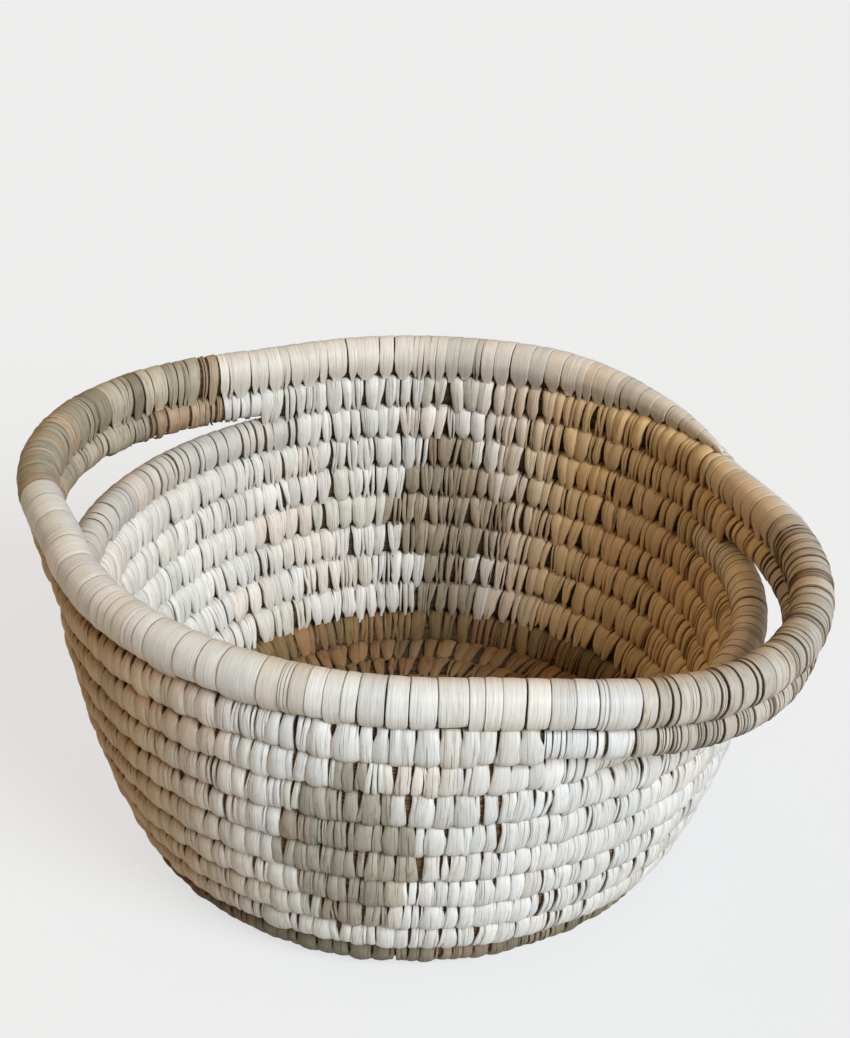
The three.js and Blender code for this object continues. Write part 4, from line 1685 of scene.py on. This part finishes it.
class Wall(SubAssembly):
    """The edge under the handles, the rows with the diamonds and the last cream row."""

    SIZES = MotifSizes()
    EDGE_ROW = 3
    RIGHT_EDGE_START = 318.0

    def plan(self) -> None:
        """Lists the runs from the top down."""
        self._plan_edge()
        self._plan_motif_rows()

    def _plan_edge(self) -> None:
        """Lists the runs of the third row, which is the wall's edge under the handles."""
        tip = self.path.sizes.end_angle
        angles = (
            tip,
            LEFT_HANDLE.angle - LEFT_HANDLE.half_span,
            LEFT_HANDLE.angle + LEFT_HANDLE.half_span,
            360.0 + RIGHT_HANDLE.angle - RIGHT_HANDLE.half_span,
            tip + 360.0,
        )
        places = [self.path.turn_at(self.EDGE_ROW, a) for a in angles]
        self.run("third_row_wrap_back", places[0], places[1], Style.WALL, Palette.CREAM, Slot.CREAM)
        self.run("left_edge_wrap", places[1], places[2], Style.EDGE, Palette.EDGE, Slot.PALE)
        front = self.run("third_row_wrap_front", places[2], places[3], Style.WALL, Palette.CREAM, Slot.CREAM)
        tip_of_motif = self.path.turn_at(self.EDGE_ROW, self.SIZES.front_tip_angle)
        front.mark(tip_of_motif, self.SIZES.front_tip, Palette.MOTIF)
        right = self.run("right_edge_wrap", places[3], places[4], Style.RIGHT_EDGE, Palette.PALE, Slot.PALE)
        edge_start = self.path.turn_at(self.EDGE_ROW, self.RIGHT_EDGE_START)
        right.rewrap(places[3], edge_start, Style.WALL, Palette.CREAM)

    def _ends(self, row: int, angle: float, width: float) -> tuple[float, float]:
        """Finds where a stretch of a row ends and starts.

        Args:
            row: Row counted down from the rim.
            angle: Angle of its middle in degrees.
            width: Its width in metres.

        Returns:
            Turn where it ends and turn where it starts.
        """
        arc = self.path.arc_at(self.path.turn_at(row, angle))
        high, low = np.interp((arc + width / 2, arc - width / 2), self.path.arcs, self.path.turns)
        return high, low

    def _plan_motif_rows(self) -> None:
        """Lists the cream runs and the steps of the diamonds, row by row."""
        s = self.SIZES
        high = self.path.turn_at(s.top_row, self.path.sizes.end_angle)
        for place, (front_width, back_width) in enumerate(zip(s.front, s.back)):
            row = s.top_row + place
            back_high, back_low = self._ends(row, s.back_angle, back_width)
            front_high, front_low = self._ends(row, s.front_angle, front_width)
            self.run(f"wall_wrap_right_{row}", high, back_high, Style.WALL, Palette.CREAM, Slot.CREAM)
            self.run(f"back_motif_{row}", back_high, back_low, Style.MOTIF, Palette.MOTIF, Slot.MOTIF)
            self.run(f"wall_wrap_left_{row}", back_low, front_high, Style.WALL, Palette.CREAM, Slot.CREAM)
            self.run(f"front_motif_{row}", front_high, front_low, Style.MOTIF, Palette.MOTIF, Slot.MOTIF)
            high = front_low
        row = s.top_row + len(s.front)
        foot_high, foot_low = self._ends(row, s.back_angle, s.foot)
        end = self.path.turn_at(row + 1, self.path.sizes.end_angle)
        self.run(f"wall_wrap_right_{row}", high, foot_high, Style.WALL, Palette.CREAM, Slot.CREAM)
        self.run(f"back_motif_{row}", foot_high, foot_low, Style.MOTIF, Palette.MOTIF, Slot.MOTIF)
        self.run(f"wall_wrap_left_{row}", foot_low, end, Style.WALL, Palette.CREAM, Slot.CREAM)


class Foot(SubAssembly):
    """The dark row at the corner and the floor."""

    CORNER_ROW = 10

    def plan(self) -> None:
        """Lists the two runs."""
        corner = self.path.turn_at(self.CORNER_ROW, self.path.sizes.end_angle)
        self.run("corner_wrap", corner, corner - 1.0, Style.FOOT, Palette.DARK, Slot.DARK)
        self.run("floor_wrap", corner - 1.0, self.path.sizes.start_turn, Style.FLOOR, Palette.TAN, Slot.TAN)


@dataclass(frozen=True)
class CameraSizes:
    """Where the camera stands, in degrees and metres, and its lens in millimetres."""

    elevation: float = 29.10
    azimuth: float = 20.0
    roll: float = 0.881
    distance: float = 0.84261
    target: tuple[float, float, float] = (0.00477, -0.00121, 0.14181)
    lens: float = 86.587
    sensor: float = 36.0


@dataclass(frozen=True)
class SunSizes:
    """A distant soft lamp: where it shines from in degrees, its spread, strength and colour."""

    name: str
    azimuth: float
    elevation: float
    spread: float
    strength: float
    colour: tuple[float, float, float]


def direction(azimuth: float, elevation: float) -> Vector:
    """Gives the way to a place in the sky.

    Args:
        azimuth: Angle from +X in degrees.
        elevation: Height over the ground in degrees.

    Returns:
        A vector of length 1.
    """
    turn, rise = math.radians(azimuth), math.radians(elevation)
    return Vector((math.cos(turn) * math.cos(rise), math.sin(turn) * math.cos(rise), math.sin(rise)))


class Studio:
    """Floor, light and camera."""

    CAMERA = CameraSizes()
    SUNS = (
        SunSizes("key", -27.0, 35.0, 32.0, 3.45, (0.90, 0.955, 1.0)),
        SunSizes("fill", 165.0, 48.0, 80.0, 0.80, (1.0, 0.70, 0.38)),
    )
    SKY = (0.15, 0.12, 0.085, 1.0)
    BACKDROP = (0.855, 0.855, 0.855, 1.0)
    FLOOR_HALF = 6.0
    FLOOR_DROP = 0.1 * MM
    FLOOR_SEEN = (0.19, 0.20, 0.21, 1.0)
    FLOOR_GLOW = 0.68
    FLOOR_BOUNCE = (0.62, 0.59, 0.55, 1.0)
    SEEN_TO = 50.0

    def build(self) -> None:
        """Sets the studio up."""
        self._floor()
        self._sky()
        for sun in self.SUNS:
            self._sun(sun)
        self._camera()

    def _floor(self) -> None:
        """Lays a pale paper floor that keeps the basket's shadow."""
        half = self.FLOOR_HALF
        corners = [(-half, -half, 0), (half, -half, 0), (half, half, 0), (-half, half, 0)]
        mesh = bpy.data.meshes.new("studio_floor")
        mesh.from_pydata(corners, [], [(0, 1, 2, 3)])
        floor = place_object("studio_floor", mesh)
        floor.location.z = -self.FLOOR_DROP
        material = bpy.data.materials.new("studio_paper")
        nodes = emptied(material)
        seen = nodes.add("ShaderNodeLightPath").outputs["Is Camera Ray"]
        surface = {
            "Base Color": nodes.mix(seen, self.FLOOR_BOUNCE, self.FLOOR_SEEN),
            "Roughness": 1.0,
            "Specular IOR Level": 0.0,
            "Emission Color": (1.0, 1.0, 1.0, 1.0),
            "Emission Strength": nodes.math("MULTIPLY", seen, self.FLOOR_GLOW),
        }
        nodes.surface(surface)
        mesh.materials.append(material)

    def _sky(self) -> None:
        """Hangs a dim warm sky, which the camera sees as a pale backdrop."""
        world = bpy.data.worlds.new("studio_sky")
        bpy.context.scene.world = world
        nodes = emptied(world)
        seen = nodes.add("ShaderNodeLightPath").outputs["Is Camera Ray"]
        back = nodes.add("ShaderNodeBackground", {"Color": nodes.mix(seen, self.SKY, self.BACKDROP)})
        nodes.add("ShaderNodeOutputWorld", {0: back.outputs[0]})

    def _sun(self, sizes: SunSizes) -> None:
        """Hangs a lamp.

        Args:
            sizes: The lamp's sizes.
        """
        lamp = bpy.data.lights.new(sizes.name, "SUN")
        lamp.energy = sizes.strength
        lamp.angle = math.radians(sizes.spread)
        lamp.color = sizes.colour
        towards = direction(sizes.azimuth, sizes.elevation)
        place_object(sizes.name, lamp).rotation_euler = towards.to_track_quat("Z", "Y").to_euler()

    def _camera(self) -> None:
        """Stands the camera where the photograph was taken from."""
        s = self.CAMERA
        back, right = direction(s.azimuth - 90.0, s.elevation), direction(s.azimuth, 0.0)
        up, roll = back.cross(right), math.radians(s.roll)
        tilted_right = right * math.cos(roll) + up * math.sin(roll)
        tilted_up = up * math.cos(roll) - right * math.sin(roll)
        lens = bpy.data.cameras.new("camera")
        lens.lens = s.lens
        lens.sensor_width = s.sensor
        lens.sensor_fit = "HORIZONTAL"
        lens.clip_end = self.SEEN_TO
        camera = place_object("camera", lens)
        place = Vector(s.target) + back * s.distance
        turned = Matrix((tilted_right, tilted_up, back)).transposed().to_4x4()
        camera.matrix_world = Matrix.Translation(place) @ turned
        bpy.context.scene.camera = camera
        bpy.context.scene.view_settings.view_transform = "Standard"


def main() -> None:
    """Builds the basket and its studio."""
    logging.basicConfig(level=logging.INFO, format="%(name)s: %(message)s")
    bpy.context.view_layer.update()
    path = CoilPath(CoilSizes(), (LEFT_HANDLE, RIGHT_HANDLE))
    for part in (Bundle(path), RimAndHandles(path), Wall(path), Foot(path)):
        part.build()
        part.dress()
    Studio().build()


if __name__ == "__main__":
    main()
